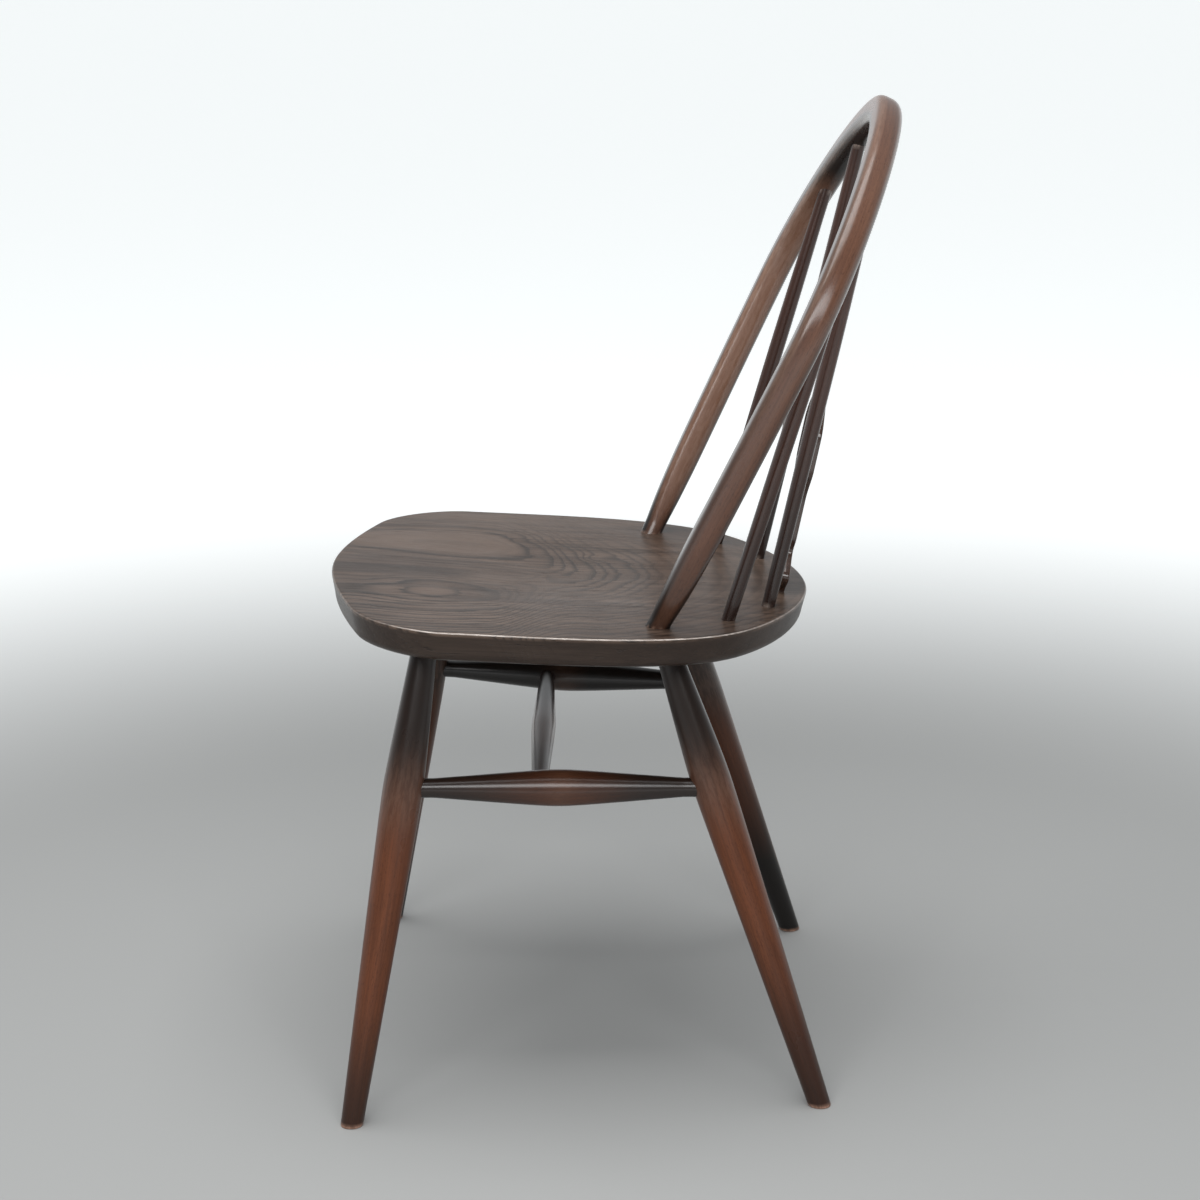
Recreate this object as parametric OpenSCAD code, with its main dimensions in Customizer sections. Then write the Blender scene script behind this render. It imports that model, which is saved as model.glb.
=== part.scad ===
// Hoop-backed wooden dining chair with four spindles and a pierced thistle splat.
// Millimetres. The chair faces -Y, the sitter's left is +X and the feet stand on Z = 0.
// Distances back are measured from the front edge of the seat, half widths from the middle.

/* [Seat] */
// Full width of the seat
seat_w = 422; // [400:1:450]
// Depth of the seat from its front edge to its back edge
seat_d = 410; // [402:1:425]
// Thickness of the seat boards
seat_t = 26; // [25:0.5:34]
// Height of the seat's top at its front edge
seat_front_h = 421; // [400:1:460]
// Fall of the seat towards the back, in degrees
seat_slope = 3; // [0:0.25:5]
// Half width at which the bowed front turns into the corners
seat_corner_x = 150; // [135:1:160]
// Distance back at which the bowed front turns into the corners
seat_corner_y = 28.5; // [18:0.5:36]
// Angle of the front edge where it turns into the corners, in degrees
seat_corner_turn = 18; // [10:1:26]
// Distance back to the widest place of the seat
seat_wide_y = 107.5; // [90:0.5:125]
// Half width at the turn from the sides into the round back
seat_quarter_x = 160; // [154:1:172]
// Distance from the back edge to the turn from the sides into the round back
seat_quarter_in = 58; // [50:1:66]
// Rounding of the top edge
seat_top_r = 2.5; // [1.5:0.5:6]
// Rounding of the underside edge
seat_under_r = 10; // [4:0.5:14]
// How far the seat's sides draw in towards the underside
seat_undercut = 3; // [0:0.5:5]
// Depth of the shallow dish in the top
dish_depth = 4; // [1:0.5:6]
// Share of the way from the middle to the edge that the dish takes
dish_reach = 0.78; // [0.6:0.02:0.8]

/* [Hoop] */
// Half width between the hoop's feet
hoop_foot_x = 162; // [156:0.5:168]
// Distance from the seat's back edge to the hoop's feet
hoop_in = 132; // [123:0.5:136]
// Lean of the hoop behind the vertical, in degrees
hoop_lean = 25.8; // [20:0.2:28]
// Half width of the hoop at its widest
hoop_wide_x = 200; // [190:0.5:210]
// Distance up the hoop to its widest
hoop_wide_s = 259; // [245:1:275]
// Distance up the hoop to its crown
hoop_crown_s = 440; // [425:0.5:460]
// Angle at which the hoop's legs spread, in degrees
hoop_flare = 16; // [12:0.2:20]
// Width of the bent wood, seen from the front
hoop_wood_w = 26; // [24:0.5:30]
// Depth of the bent wood, front to back
hoop_wood_d = 24; // [19:0.5:26]
// Diameter of the hoop's round feet
hoop_foot_d = 18.5; // [16:0.5:19]
// Length over which each foot grows to the full wood
hoop_grow = 100; // [80:5:180]

/* [Spindles] */
// Half width between the outer spindles at the seat
outer_x = 131.5; // [126:0.5:135]
// Distance from the seat's back edge to the outer spindles
outer_in = 73.5; // [68:0.5:80]
// Place of the outer spindles' tops along each side of the crown, from widest to top
outer_aim = 0.42; // [0.4:0.01:0.5]
// Half width between the inner spindles at the seat
inner_x = 82.5; // [78:0.5:90]
// Distance from the seat's back edge to the inner spindles
inner_in = 38; // [33:0.5:43]
// Place of the inner spindles' tops along each side of the crown, from widest to top
inner_aim = 0.68; // [0.64:0.01:0.74]
// Diameter of a spindle at the seat
spindle_foot_d = 11.2; // [10:0.2:14]
// Diameter of a spindle at its fullest
spindle_full_d = 13.4; // [12:0.2:17]
// Diameter of a spindle at the hoop
spindle_top_d = 11.4; // [9:0.2:13]
// Depth of each spindle's socket in the seat
spindle_tenon = 16; // [10:0.5:17]

/* [Splat] */
// Distance from the seat's back edge to the splat's middle plane
splat_in = 25; // [22:0.5:28]
// Thickness of the splat
splat_t = 7; // [6:0.5:11]
// Full width where the splat stands on the seat
splat_base_w = 68; // [60:1:76]
// Full width of the flared foot
splat_foot_w = 96; // [86:1:100]
// Full width of the waist over the foot
splat_waist_w = 62; // [54:1:70]
// Full width of the stem over the waist
splat_stem_w = 72; // [66:1:80]
// Full width of the bulb
splat_bulb_w = 99; // [92:1:106]
// Full width of the neck over the bulb
splat_neck_w = 26; // [22:1:34]
// Full width of the flower head
splat_head_w = 76; // [70:1:86]
// Full width of the throat over the head
splat_throat_w = 42; // [34:1:52]
// Full width where the splat enters the hoop
splat_top_w = 58; // [50:1:64]
// Distance up the splat to the bulb's widest
splat_bulb_s = 125; // [118:1:130]
// Distance up the splat to the neck
splat_neck_s = 184; // [178:1:190]
// Depth of the splat's slot in the seat
splat_tenon = 12; // [8:0.5:15]
// Depth to which the splat enters the hoop's crown
splat_top_tenon = 10; // [6:0.5:12]
// Width of each pierced petal, scale and leaf at its fullest
pierce_w = 11; // [7:0.5:12]

/* [Legs] */
// Half width between the front feet on the floor
front_foot_x = 232.5; // [215:0.5:245]
// Distance back to the front feet
front_foot_y = 24.5; // [14:0.5:50]
// Half width at which the front legs meet the seat's top
front_top_x = 144; // [136:0.5:150]
// Distance back to where the front legs meet the seat's top
front_top_y = 92.5; // [84:0.5:104]
// Half width between the back feet on the floor
rear_foot_x = 197.5; // [185:0.5:215]
// Distance from the seat's back edge to the back feet, behind it
rear_foot_out = 3; // [-10:1:20]
// Half width at which the back legs meet the seat's top
rear_top_x = 127.5; // [122:0.5:130]
// Distance from the seat's back edge to where the back legs meet its top
rear_top_in = 133; // [130:1:140]
// Diameter of a leg at the floor
leg_foot_d = 18.4; // [16:0.2:24]
// Diameter of a leg at its swelling
leg_full_d = 33.2; // [30:0.2:38]
// Diameter of a leg where it enters the seat
leg_top_d = 22; // [19:0.5:24]
// Height of the swelling over the floor
leg_full_h = 270; // [258:1:285]

/* [Stretchers] */
// Height of a side stretcher on the front leg
side_front_h = 273; // [262:1:282]
// Height of a side stretcher on the back leg
side_rear_h = 265; // [262:1:282]
// Diameter of a side stretcher at its ends
side_end_d = 16; // [13:0.5:18]
// Diameter of a side stretcher at its fullest
side_full_d = 30.5; // [25:0.5:32]
// Distance back to the cross stretcher
cross_y = 180.5; // [165:0.5:200]
// Diameter of the cross stretcher at its ends
cross_end_d = 13.6; // [11:0.2:16]
// Diameter of the cross stretcher at its fullest
cross_full_d = 21; // [18:0.5:26]

/* [Fits] */
// Glue gap round every tenon, on the radius
glue_gap = 0.05; // [0.02:0.01:0.1]
// Wood left over the end of every leg socket, along the leg
blind = 8; // [7:0.5:10]

/* [Hidden] */
// Every node of the chair

// Smoothness of round pieces
$fn = 96;
// Side of the block that cuts the feet off at the floor
block = 600;

// Distances back from the front edge of what keeps its place at the seat's back edge
seat_quarter_y = seat_d - seat_quarter_in;
hoop_y = seat_d - hoop_in;
outer_y = seat_d - outer_in;
inner_y = seat_d - inner_in;
splat_y = seat_d - splat_in;
rear_foot_y = seat_d + rear_foot_out;
rear_top_y = seat_d - rear_top_in;

// Colours of the stained woods
elm_brown = [0.26, 0.19, 0.16];
hoop_brown = [0.33, 0.2, 0.14];
spindle_brown = [0.16, 0.12, 0.1];
leg_brown = [0.24, 0.13, 0.1];
stretcher_brown = [0.2, 0.12, 0.1];

// Small functions
function unit(v) = v / norm(v);
function heading(a) = [cos(a), sin(a)];
function bezier(a, b, c, d, t) =
    a * (1 - t) ^ 3 + 3 * b * t * (1 - t) ^ 2 + 3 * c * t ^ 2 * (1 - t) + d * t ^ 3;
// Eased step from 0 to 1
function ease(t) = (1 - cos(180 * max(0, min(1, t)))) / 2;
// 0 at a swelling and 1 at distance reach from it, straight but for a soft crown
function fall(u, reach, soft) =
    (sqrt(u * u + soft * soft) - soft) / (sqrt(reach * reach + soft * soft) - soft);

// The hoop's middle line on the +X side, in its own plane, t from 0 to 1 on each piece
hoop_round = hoop_foot_d / 2;
hoop_rise = [sin(hoop_flare), cos(hoop_flare)];
hoop_start = [hoop_foot_x, 0] + hoop_round * hoop_rise;
hoop_widest = [hoop_wide_x, hoop_wide_s];
hoop_crown = [0, hoop_crown_s];
leg_pull = 0.26 * hoop_wide_s;
side_pull = 0.134 * hoop_wide_s;
shoulder_pull = 0.48 * (hoop_crown_s - hoop_wide_s);
crown_pull = 0.42 * hoop_wide_x;
function hoop_low(t) = bezier(
    hoop_start, hoop_start + leg_pull * hoop_rise,
    hoop_widest - [0, side_pull], hoop_widest, t);
function hoop_high(t) = bezier(
    hoop_widest, hoop_widest + [0, shoulder_pull],
    hoop_crown + [crown_pull, 0], hoop_crown, t);

// Middle line of the whole hoop, from its left foot over the crown to its right foot
low_steps = 11;
high_steps = 19;
half_line = concat(
    [for (i = [0 : low_steps - 1]) hoop_low(i / low_steps)],
    [for (i = [0 : high_steps - 1]) hoop_high(i / high_steps)]);
crown_i = len(half_line);
hoop_line = concat(
    half_line, [hoop_crown],
    [for (i = [crown_i - 1 : -1 : 0]) [-half_line[i].x, half_line[i].y]]);
last_i = len(hoop_line) - 1;
function line_dir(i) =
    i == 0 ? hoop_rise :
    i == last_i ? [hoop_rise.x, -hoop_rise.y] :
    unit(hoop_line[i + 1] - hoop_line[i - 1]);

// Outline of the bent wood: flat in front and round behind, a circle where grown is 0
wood_steps = 24;
flatness = 1.8;
fullness = 0.2;
// Where grown is 0, the flats of the faceted wood lie just outside the round foot
wood_foot_d = (hoop_foot_d + 0.2) / cos(180 / wood_steps);
function signed_power(v, p) = sign(v) * abs(v) ^ p;
function wood_point(a, grown) =
    let (w = wood_foot_d + (hoop_wood_w - wood_foot_d) * grown,
         d = wood_foot_d + (hoop_wood_d - wood_foot_d) * grown,
         power = 2 / (2 + grown * (sin(a) < 0 ? flatness : fullness)))
    [w / 2 * signed_power(cos(a), power), d / 2 * signed_power(sin(a), power)];

// One ring of the hoop's skin: X across, Y through the wood to its back, Z up the hoop
grow_power = 2.8;
function hoop_ring(i) =
    let (p = hoop_line[i], t = line_dir(i), out = [t.y, -t.x],
         grown = 1 - (1 - min(1, (p.y - hoop_start.y) / hoop_grow)) ^ grow_power)
    [for (k = [0 : wood_steps - 1])
        let (q = wood_point(360 * k / wood_steps, grown))
        [p.x + out.x * q.x, q.y, p.y + out.y * q.x]];

// The whole chair's middle, front to back, is Y = 0
front_reach = max(
    seat_top_r * sin(seat_slope),
    (seat_t - seat_under_r) * sin(seat_slope) - seat_undercut * cos(seat_slope));
crown_reach = max([for (p = hoop_ring(crown_i)) p.y * cos(hoop_lean) + p.z * sin(hoop_lean)]);
mid_y = (hoop_y + crown_reach - front_reach) / 2;

// Points of the seat's top plane and of the floor, x across and y back from the front edge
function on_seat(x, y) = [x, y - mid_y, seat_front_h - y * tan(seat_slope)];
function on_floor(x, y) = [x, y - mid_y, 0];

// Puts children drawn along +Z from the origin onto the line from a towards b
module along(a, b) {
    d = b - a;
    translate(a)
        rotate([0, acos(d.z / norm(d)), atan2(d.y, d.x)])
            children();
}

// Round peg, or the socket for it, on the line from a towards b between two distances
module peg(a, b, from, to, d) {
    along(a, b)
        translate([0, 0, from])
            cylinder(h = to - from, d = d);
}

// Turned piece on the line from a towards b, from a list of [radius, distance]
seam_turn = 135;
module turned(a, b, profile) {
    along(a, b)
        rotate([0, 0, seam_turn])
            rotate_extrude()
                polygon(concat([[0, profile[0].y]], profile, [[0, profile[len(profile) - 1].y]]));
}

// Profile between two distances, from the first diameter to the second, fullest at one end
turn_steps = 9;
function swell_up(from, to, d_from, d_to, soft) =
    [for (i = [0 : turn_steps])
        let (z = from + (to - from) * i / turn_steps)
        [(d_to - (d_to - d_from) * fall(to - z, to - from, soft)) / 2, z]];
function swell_down(from, to, d_from, d_to, soft) =
    [for (i = [1 : turn_steps])
        let (z = from + (to - from) * i / turn_steps)
        [(d_from - (d_from - d_to) * fall(z - from, to - from, soft)) / 2, z]];

// Seat outline on the +X side: turning points with the edge's angle at each
quarter_turn = 139.5;
seat_turns = [
    [[0, 0], 0],
    [[seat_corner_x, seat_corner_y], seat_corner_turn],
    [[seat_w / 2, seat_wide_y], 90],
    [[seat_quarter_x, seat_quarter_y], quarter_turn],
    [[0, seat_d], 180]];
seat_pull = 0.32;
edge_steps = [7, 9, 10, 8];

// Points of the outline with the outward direction at each
function edge_piece(k, t) =
    let (a = seat_turns[k], b = seat_turns[k + 1], pull = seat_pull * norm(b[0] - a[0]),
         p = a[0] + pull * heading(a[1]), q = b[0] - pull * heading(b[1]),
         near = bezier(a[0], p, q, b[0], t),
         flow = (p - a[0]) * (1 - t) ^ 2 + 2 * (q - p) * t * (1 - t) + (b[0] - q) * t ^ 2)
    [near, unit([flow.y, -flow.x])];
seat_edge = concat(
    [for (k = [0 : len(edge_steps) - 1], i = [0 : edge_steps[k] - 1]) edge_piece(k, i / edge_steps[k])],
    [edge_piece(len(edge_steps) - 1, 1)]);
edge_n = len(seat_edge);

// Rings from the top's middle to the underside's middle: [share of the way, inset, depth]
middle_share = 0.485;
seat_middle = [0, middle_share * seat_d];
dish_steps = 8;
round_turns = [0, 30, 60, 90];
seat_rings = concat(
    [for (i = [1 : dish_steps])
        [dish_reach * i / dish_steps, seat_top_r, dish_depth * (1 - ease(i / dish_steps))]],
    [for (a = round_turns) [1, seat_top_r * (1 - sin(a)), seat_top_r * (1 - cos(a))]],
    [for (a = round_turns)
        [1, seat_undercut + seat_under_r * (1 - cos(a)), seat_t - seat_under_r * (1 - sin(a))]]);
ring_n = len(seat_rings);
function seat_point(side, i, ring) =
    let (e = seat_edge[i], p = seat_middle + ring[0] * (e[0] - ring[1] * e[1] - seat_middle))
    [side * p.x, p.y, -ring[2]];

// Half of the seat without its sockets, side = 1 for the sitter's left
module seat_blank(side) {
    skin = [for (ring = seat_rings, i = [0 : edge_n - 1]) seat_point(side, i, ring)];
    top = len(skin);
    under = top + 1;
    outer = ring_n - 1;
    walls = [for (j = [0 : outer - 1], i = [0 : edge_n - 2])
        let (a = j * edge_n + i)
        [a, a + 1, a + edge_n + 1, a + edge_n]];
    fans = concat(
        [for (i = [0 : edge_n - 2]) [top, i + 1, i]],
        [for (i = [0 : edge_n - 2]) [under, outer * edge_n + i, outer * edge_n + i + 1]]);
    joint = concat(
        [top], [for (j = [0 : outer]) j * edge_n],
        [under], [for (j = [outer : -1 : 0]) j * edge_n + edge_n - 1]);
    faces = concat(walls, fans, [joint]);
    translate(on_seat(0, 0))
        rotate([-seat_slope, 0, 0])
            polyhedron(
                points = concat(skin, [[0, seat_middle.y, -dish_depth], [0, seat_middle.y, -seat_t]]),
                faces = side > 0 ? faces : [for (f = faces) [for (k = [len(f) - 1 : -1 : 0]) f[k]]],
                convexity = 6);
}

// One glued board of the seat with its sockets
module seat_board(side) {
    color(elm_brown)
        difference() {
            seat_blank(side);
            hoop_peg(side, glue_gap);
            leg_socket(front_foot(side), front_top(side));
            leg_socket(rear_foot(side), rear_top(side));
            spindle_seat_socket(outer_seat(side), outer_hoop(side));
            spindle_seat_socket(inner_seat(side), inner_hoop(side));
            splat_blank(glue_gap);
        }
}

module seat_board_left() {
    seat_board(1);
}

module seat_board_right() {
    seat_board(-1);
}

// A point of the hoop's plane, x across and s up the hoop
function from_hoop(x, s) = on_seat(0, hoop_y) + [x, s * sin(hoop_lean), s * cos(hoop_lean)];

// The bent wood as one skin of rings
module hoop_bend() {
    points = [for (i = [0 : last_i]) each hoop_ring(i)];
    first = [for (k = [0 : wood_steps - 1]) k];
    last = [for (k = [wood_steps - 1 : -1 : 0]) last_i * wood_steps + k];
    sides = [for (i = [0 : last_i - 1], k = [0 : wood_steps - 1])
        let (a = i * wood_steps, b = (k + 1) % wood_steps)
        [a + k, a + wood_steps + k, a + wood_steps + b, a + b]];
    translate(on_seat(0, hoop_y))
        rotate([-hoop_lean, 0, 0])
            polyhedron(points = points, faces = concat([first], sides, [last]), convexity = 6);
}

// Round foot of the hoop, from the end of its blind tenon to the start of the bend
hoop_tenon = 20;
hoop_lap = 0.5;
module hoop_peg(side, gap) {
    foot = from_hoop(side * hoop_foot_x, 0);
    up = from_hoop(side * hoop_start.x, hoop_start.y);
    peg(foot, up, -hoop_tenon - gap, hoop_round + hoop_lap, hoop_foot_d + 2 * gap);
}

module hoop() {
    color(hoop_brown)
        difference() {
            union() {
                hoop_bend();
                hoop_peg(1, 0);
                hoop_peg(-1, 0);
            }
            for (side = [-1, 1]) {
                spindle_hoop_socket(outer_seat(side), outer_hoop(side));
                spindle_hoop_socket(inner_seat(side), inner_hoop(side));
            }
            splat_blank(glue_gap);
        }
}

// Ends of the spindles' middle lines: on the seat's top and at the middle of the hoop's wood
function outer_seat(side) = on_seat(side * outer_x, outer_y);
function inner_seat(side) = on_seat(side * inner_x, inner_y);
function outer_hoop(side) = from_hoop(side * hoop_high(outer_aim).x, hoop_high(outer_aim).y);
function inner_hoop(side) = from_hoop(side * hoop_high(inner_aim).x, hoop_high(inner_aim).y);

// Where a spindle's swelling starts over the seat and stops under the hoop's middle line
spindle_start = spindle_foot_d / 2;
spindle_stop = 1.6 * hoop_wood_w;
// Place of its fullest, as a share of its length, and the softness of the crown there
spindle_full_at = 0.55;
spindle_soft = 60;

module spindle_seat_socket(a, b) {
    peg(a, b, -spindle_tenon - glue_gap, spindle_foot_d, spindle_foot_d + 2 * glue_gap);
}

module spindle_hoop_socket(a, b) {
    length = norm(b - a);
    peg(a, b, length - spindle_stop, length + glue_gap, spindle_top_d + 2 * glue_gap);
}

// A turned spindle, fullest a little above its middle
module spindle(a, b) {
    length = norm(b - a);
    full = spindle_full_at * length;
    color(spindle_brown)
        turned(a, b, concat(
            [[spindle_foot_d / 2, -spindle_tenon]],
            swell_up(spindle_start, full, spindle_foot_d, spindle_full_d, spindle_soft),
            swell_down(full, length - spindle_stop, spindle_full_d, spindle_top_d, spindle_soft),
            [[spindle_top_d / 2, length]]));
}

module spindle_outer_left() {
    spindle(outer_seat(1), outer_hoop(1));
}

module spindle_outer_right() {
    spindle(outer_seat(-1), outer_hoop(-1));
}

module spindle_inner_left() {
    spindle(inner_seat(1), inner_hoop(1));
}

module spindle_inner_right() {
    spindle(inner_seat(-1), inner_hoop(-1));
}

// Splat: stands on the seat and enters the crown, so its lean and length follow them
splat_foot = on_seat(0, splat_y);
splat_rise = from_hoop(0, hoop_crown_s) - splat_foot;
splat_lean = atan2(splat_rise.y, splat_rise.z);
splat_end = norm(splat_rise) - hoop_wood_w / 2 + splat_top_tenon;

module splat_frame() {
    translate(splat_foot)
        rotate([90 - splat_lean, 0, 0])
            children();
}

// Distances up the splat of its stations, each with the full width there
foot_s = 16;
waist_s = 37;
stem_from_s = 48;
stem_to_s = 83;
bulb_half = 13;
flower_l = 30;
head_l = 66;
throat_l = 66;
splat_top_l = 34;
head_from_s = splat_neck_s + flower_l;
head_s = splat_neck_s + head_l;
throat_s = head_s + throat_l;
top_s = splat_end - splat_top_tenon - splat_top_l;
head_low_w = 0.9 * splat_head_w;
stations = [
    [0, splat_base_w],
    [foot_s, splat_foot_w],
    [waist_s, splat_waist_w],
    [stem_from_s, splat_stem_w],
    [stem_to_s, splat_stem_w],
    [splat_bulb_s - bulb_half, splat_bulb_w],
    [splat_bulb_s + bulb_half, splat_bulb_w],
    [splat_neck_s, splat_neck_w],
    [head_from_s, head_low_w],
    [head_s, splat_head_w],
    [throat_s, splat_throat_w],
    [top_s, splat_top_w]];
station_steps = 7;
splat_edge = concat(
    [for (k = [0 : len(stations) - 2], i = [0 : station_steps - 1])
        let (a = stations[k], b = stations[k + 1], t = i / station_steps)
        if (i == 0 || a[1] != b[1])
            [(a[1] + (b[1] - a[1]) * ease(t)) / 2, a[0] + (b[0] - a[0]) * t]],
    [[splat_top_w / 2, top_s]]);

// The sawn board without its piercing, grown by gap for its slots
module splat_blank(gap) {
    side = concat(
        [[splat_base_w / 2, -splat_tenon - gap]],
        splat_edge,
        [[splat_top_w / 2, splat_end + gap]]);
    splat_frame()
        linear_extrude(splat_t + 2 * gap, center = true)
            polygon(concat(
                [for (p = side) p + [gap, 0]],
                [for (i = [len(side) - 1 : -1 : 0]) [-side[i].x - gap, side[i].y]]));
}

// A pointed oval hole of the given length, standing on the origin
petal_steps = 10;
petal_power = 1.2;
module petal(length, width) {
    side = [for (i = [0 : petal_steps])
        let (t = i / petal_steps)
        [width / 2 * sin(180 * t) ^ petal_power, length * t]];
    linear_extrude(2 * splat_t, center = true)
        polygon(concat(side, [for (i = [petal_steps - 1 : -1 : 1]) [-side[i].x, side[i].y]]));
}

// A petal on each side of the middle, or one on it where x and lean are 0
module petals(x, s, lean, length, width) {
    for (side = (x == 0 ? [1] : [-1, 1]))
        translate([side * x, s, 0])
            rotate([0, 0, -side * lean])
                petal(length, width);
}

// Thistle: a bud under the hoop, three petals, a cup of five scales and two leaves
bud_s = throat_s + 12;
bud_w = 0.8 * pierce_w;
petal_l = 74;
side_petal_l = 58;
side_petal_w = 0.9 * pierce_w;
side_petal_x = 13;
side_petal_lean = 6;
scale_l = 31;
scale_x = 23;
upper_scale_s = splat_bulb_s - 3;
lower_scale_s = splat_bulb_s - 28;
leaf_l = 42;
leaf_x = 13;
leaf_s = waist_s + 7;
leaf_lean = 4;
module splat_piercing() {
    splat_frame() {
        petals(0, bud_s, 0, leaf_l, bud_w);
        petals(0, head_from_s, 0, petal_l, pierce_w);
        petals(side_petal_x, head_from_s, side_petal_lean, side_petal_l, side_petal_w);
        petals(scale_x / 2, upper_scale_s, 0, scale_l, pierce_w);
        petals(0, lower_scale_s, 0, scale_l, pierce_w);
        petals(scale_x, lower_scale_s, 0, scale_l, pierce_w);
        petals(leaf_x, leaf_s, leaf_lean, leaf_l, pierce_w);
    }
}

module splat() {
    color(spindle_brown)
        difference() {
            splat_blank(0);
            splat_piercing();
        }
}

// Ends of the legs' middle lines, on the floor and in the seat's top plane
function front_foot(side) = on_floor(side * front_foot_x, front_foot_y);
function front_top(side) = on_seat(side * front_top_x, front_top_y);
function rear_foot(side) = on_floor(side * rear_foot_x, rear_foot_y);
function rear_top(side) = on_seat(side * rear_top_x, rear_top_y);

// Straight end of a leg, from under the seat to the end of its blind tenon
leg_straight = seat_t + leg_top_d / 3;
leg_soft = 18;
function leg_end(foot, top) = norm(top - foot) - blind;

module leg_socket(foot, top) {
    end = leg_end(foot, top);
    peg(foot, top, end - leg_straight, end + glue_gap, leg_top_d + 2 * glue_gap);
}

// A turned leg, cut flat on the floor, with a socket for its side stretcher
module leg(foot, top, a, b) {
    end = leg_end(foot, top);
    full = leg_full_h / unit(top - foot).z;
    below = leg_foot_d * (1 - (leg_full_d - leg_foot_d) / full);
    color(leg_brown)
        difference() {
            turned(foot, top, concat(
                swell_up(-leg_foot_d, full, below, leg_full_d, leg_soft),
                swell_down(full, end - leg_straight, leg_full_d, leg_top_d, leg_soft),
                [[leg_top_d / 2, end]]));
            translate([-block / 2, -block / 2, -block])
                cube(block);
            peg(a, b, -side_past - glue_gap, side_straight, side_end_d + 2 * glue_gap);
        }
}

module leg_front_left() {
    leg(front_foot(1), front_top(1), side_front(1), side_rear(1));
}

module leg_front_right() {
    leg(front_foot(-1), front_top(-1), side_front(-1), side_rear(-1));
}

module leg_rear_left() {
    leg(rear_foot(1), rear_top(1), side_rear(1), side_front(1));
}

module leg_rear_right() {
    leg(rear_foot(-1), rear_top(-1), side_rear(-1), side_front(-1));
}

// Side stretchers run from leg middle to leg middle and stop a little past each
function at_height(a, b, h) = a + (b - a) * (h - a.z) / (b.z - a.z);
function side_front(side) = at_height(front_foot(side), front_top(side), side_front_h);
function side_rear(side) = at_height(rear_foot(side), rear_top(side), side_rear_h);
side_past = 4;
side_straight = 0.75 * leg_full_d;

// Turned bar of two soft cones from a to b, with a straight tenon past each
bar_soft = 14;
module turned_bar(a, b, past, straight, end_d, full_d) {
    length = norm(b - a);
    turned(a, b, concat(
        [[end_d / 2, -past]],
        swell_up(straight, length / 2, end_d, full_d, bar_soft),
        swell_down(length / 2, length - straight, full_d, end_d, bar_soft),
        [[end_d / 2, length + past]]));
}

module side_stretcher(side) {
    color(stretcher_brown)
        difference() {
            turned_bar(side_front(side), side_rear(side), side_past, side_straight, side_end_d, side_full_d);
            peg(cross_end(side), cross_end(-side), -cross_past - glue_gap, cross_straight,
                cross_end_d + 2 * glue_gap);
        }
}

module side_stretcher_left() {
    side_stretcher(1);
}

module side_stretcher_right() {
    side_stretcher(-1);
}

// The cross stretcher meets both side stretchers at their middle lines
function cross_end(side) =
    let (a = side_front(side), b = side_rear(side))
    a + (b - a) * (cross_y - mid_y - a.y) / (b.y - a.y);
cross_past = 3;
cross_straight = 0.64 * side_full_d;

module cross_stretcher() {
    color(stretcher_brown)
        turned_bar(cross_end(-1), cross_end(1), cross_past, cross_straight, cross_end_d, cross_full_d);
}

seat_board_left();
seat_board_right();
hoop();
splat();
spindle_outer_left();
spindle_outer_right();
spindle_inner_left();
spindle_inner_right();
leg_front_left();
leg_front_right();
leg_rear_left();
leg_rear_right();
side_stretcher_left();
side_stretcher_right();
cross_stretcher();
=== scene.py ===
import math

import bmesh
import bpy
import numpy as np
from mathutils import Matrix, Vector
from mathutils.geometry import delaunay_2d_cdt


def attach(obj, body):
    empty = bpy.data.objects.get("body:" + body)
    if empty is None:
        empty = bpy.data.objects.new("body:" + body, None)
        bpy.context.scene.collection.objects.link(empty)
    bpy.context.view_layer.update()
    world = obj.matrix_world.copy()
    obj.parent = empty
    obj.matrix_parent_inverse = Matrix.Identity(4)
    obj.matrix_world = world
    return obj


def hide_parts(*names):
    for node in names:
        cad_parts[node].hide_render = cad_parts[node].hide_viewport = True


# A dark stained wooden chair with a bent hoop back, four spindles and a pierced splat.
# Each piece is skinned finely from the same sizes as its solid and replaces it.
# Sizes are in millimetres up to the moment a mesh is made, which is in metres.

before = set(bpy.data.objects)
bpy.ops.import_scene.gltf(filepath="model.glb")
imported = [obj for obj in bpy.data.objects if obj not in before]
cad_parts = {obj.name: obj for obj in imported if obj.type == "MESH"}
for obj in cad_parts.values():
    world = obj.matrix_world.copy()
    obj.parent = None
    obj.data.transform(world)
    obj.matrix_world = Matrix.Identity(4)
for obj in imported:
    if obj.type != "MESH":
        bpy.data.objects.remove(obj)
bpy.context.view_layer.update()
MM = 0.001

# Seat
SEAT_W = 422
SEAT_D = 410
SEAT_T = 26
SEAT_H = 421
SEAT_SLOPE = math.radians(3)
# Radius of the seat's top edge here, and in its solid
SEAT_TOP_R = 2.0
SOLID_TOP_R = 2.5
SEAT_UNDER_R = 10
SEAT_UNDERCUT = 3
SEAT_PULL = 0.32
# Points of the outline, across and back, with the edge's direction there in degrees
SEAT_TURNS = (((0, 0), 0), ((150, 28.5), 18), ((SEAT_W / 2, 107.5), 90),
              ((160, SEAT_D - 58), 139.5), ((0, SEAT_D), 180))
DISH_DEPTH = 4
DISH_REACH = 0.78
MIDDLE_SHARE = 0.485

# Hoop
HOOP_FOOT_X = 162
HOOP_Y = SEAT_D - 132
HOOP_LEAN = math.radians(25.8)
HOOP_WIDE = np.array([200.0, 259.0])
HOOP_CROWN = np.array([0.0, 440.0])
HOOP_FLARE = math.radians(16)
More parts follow.
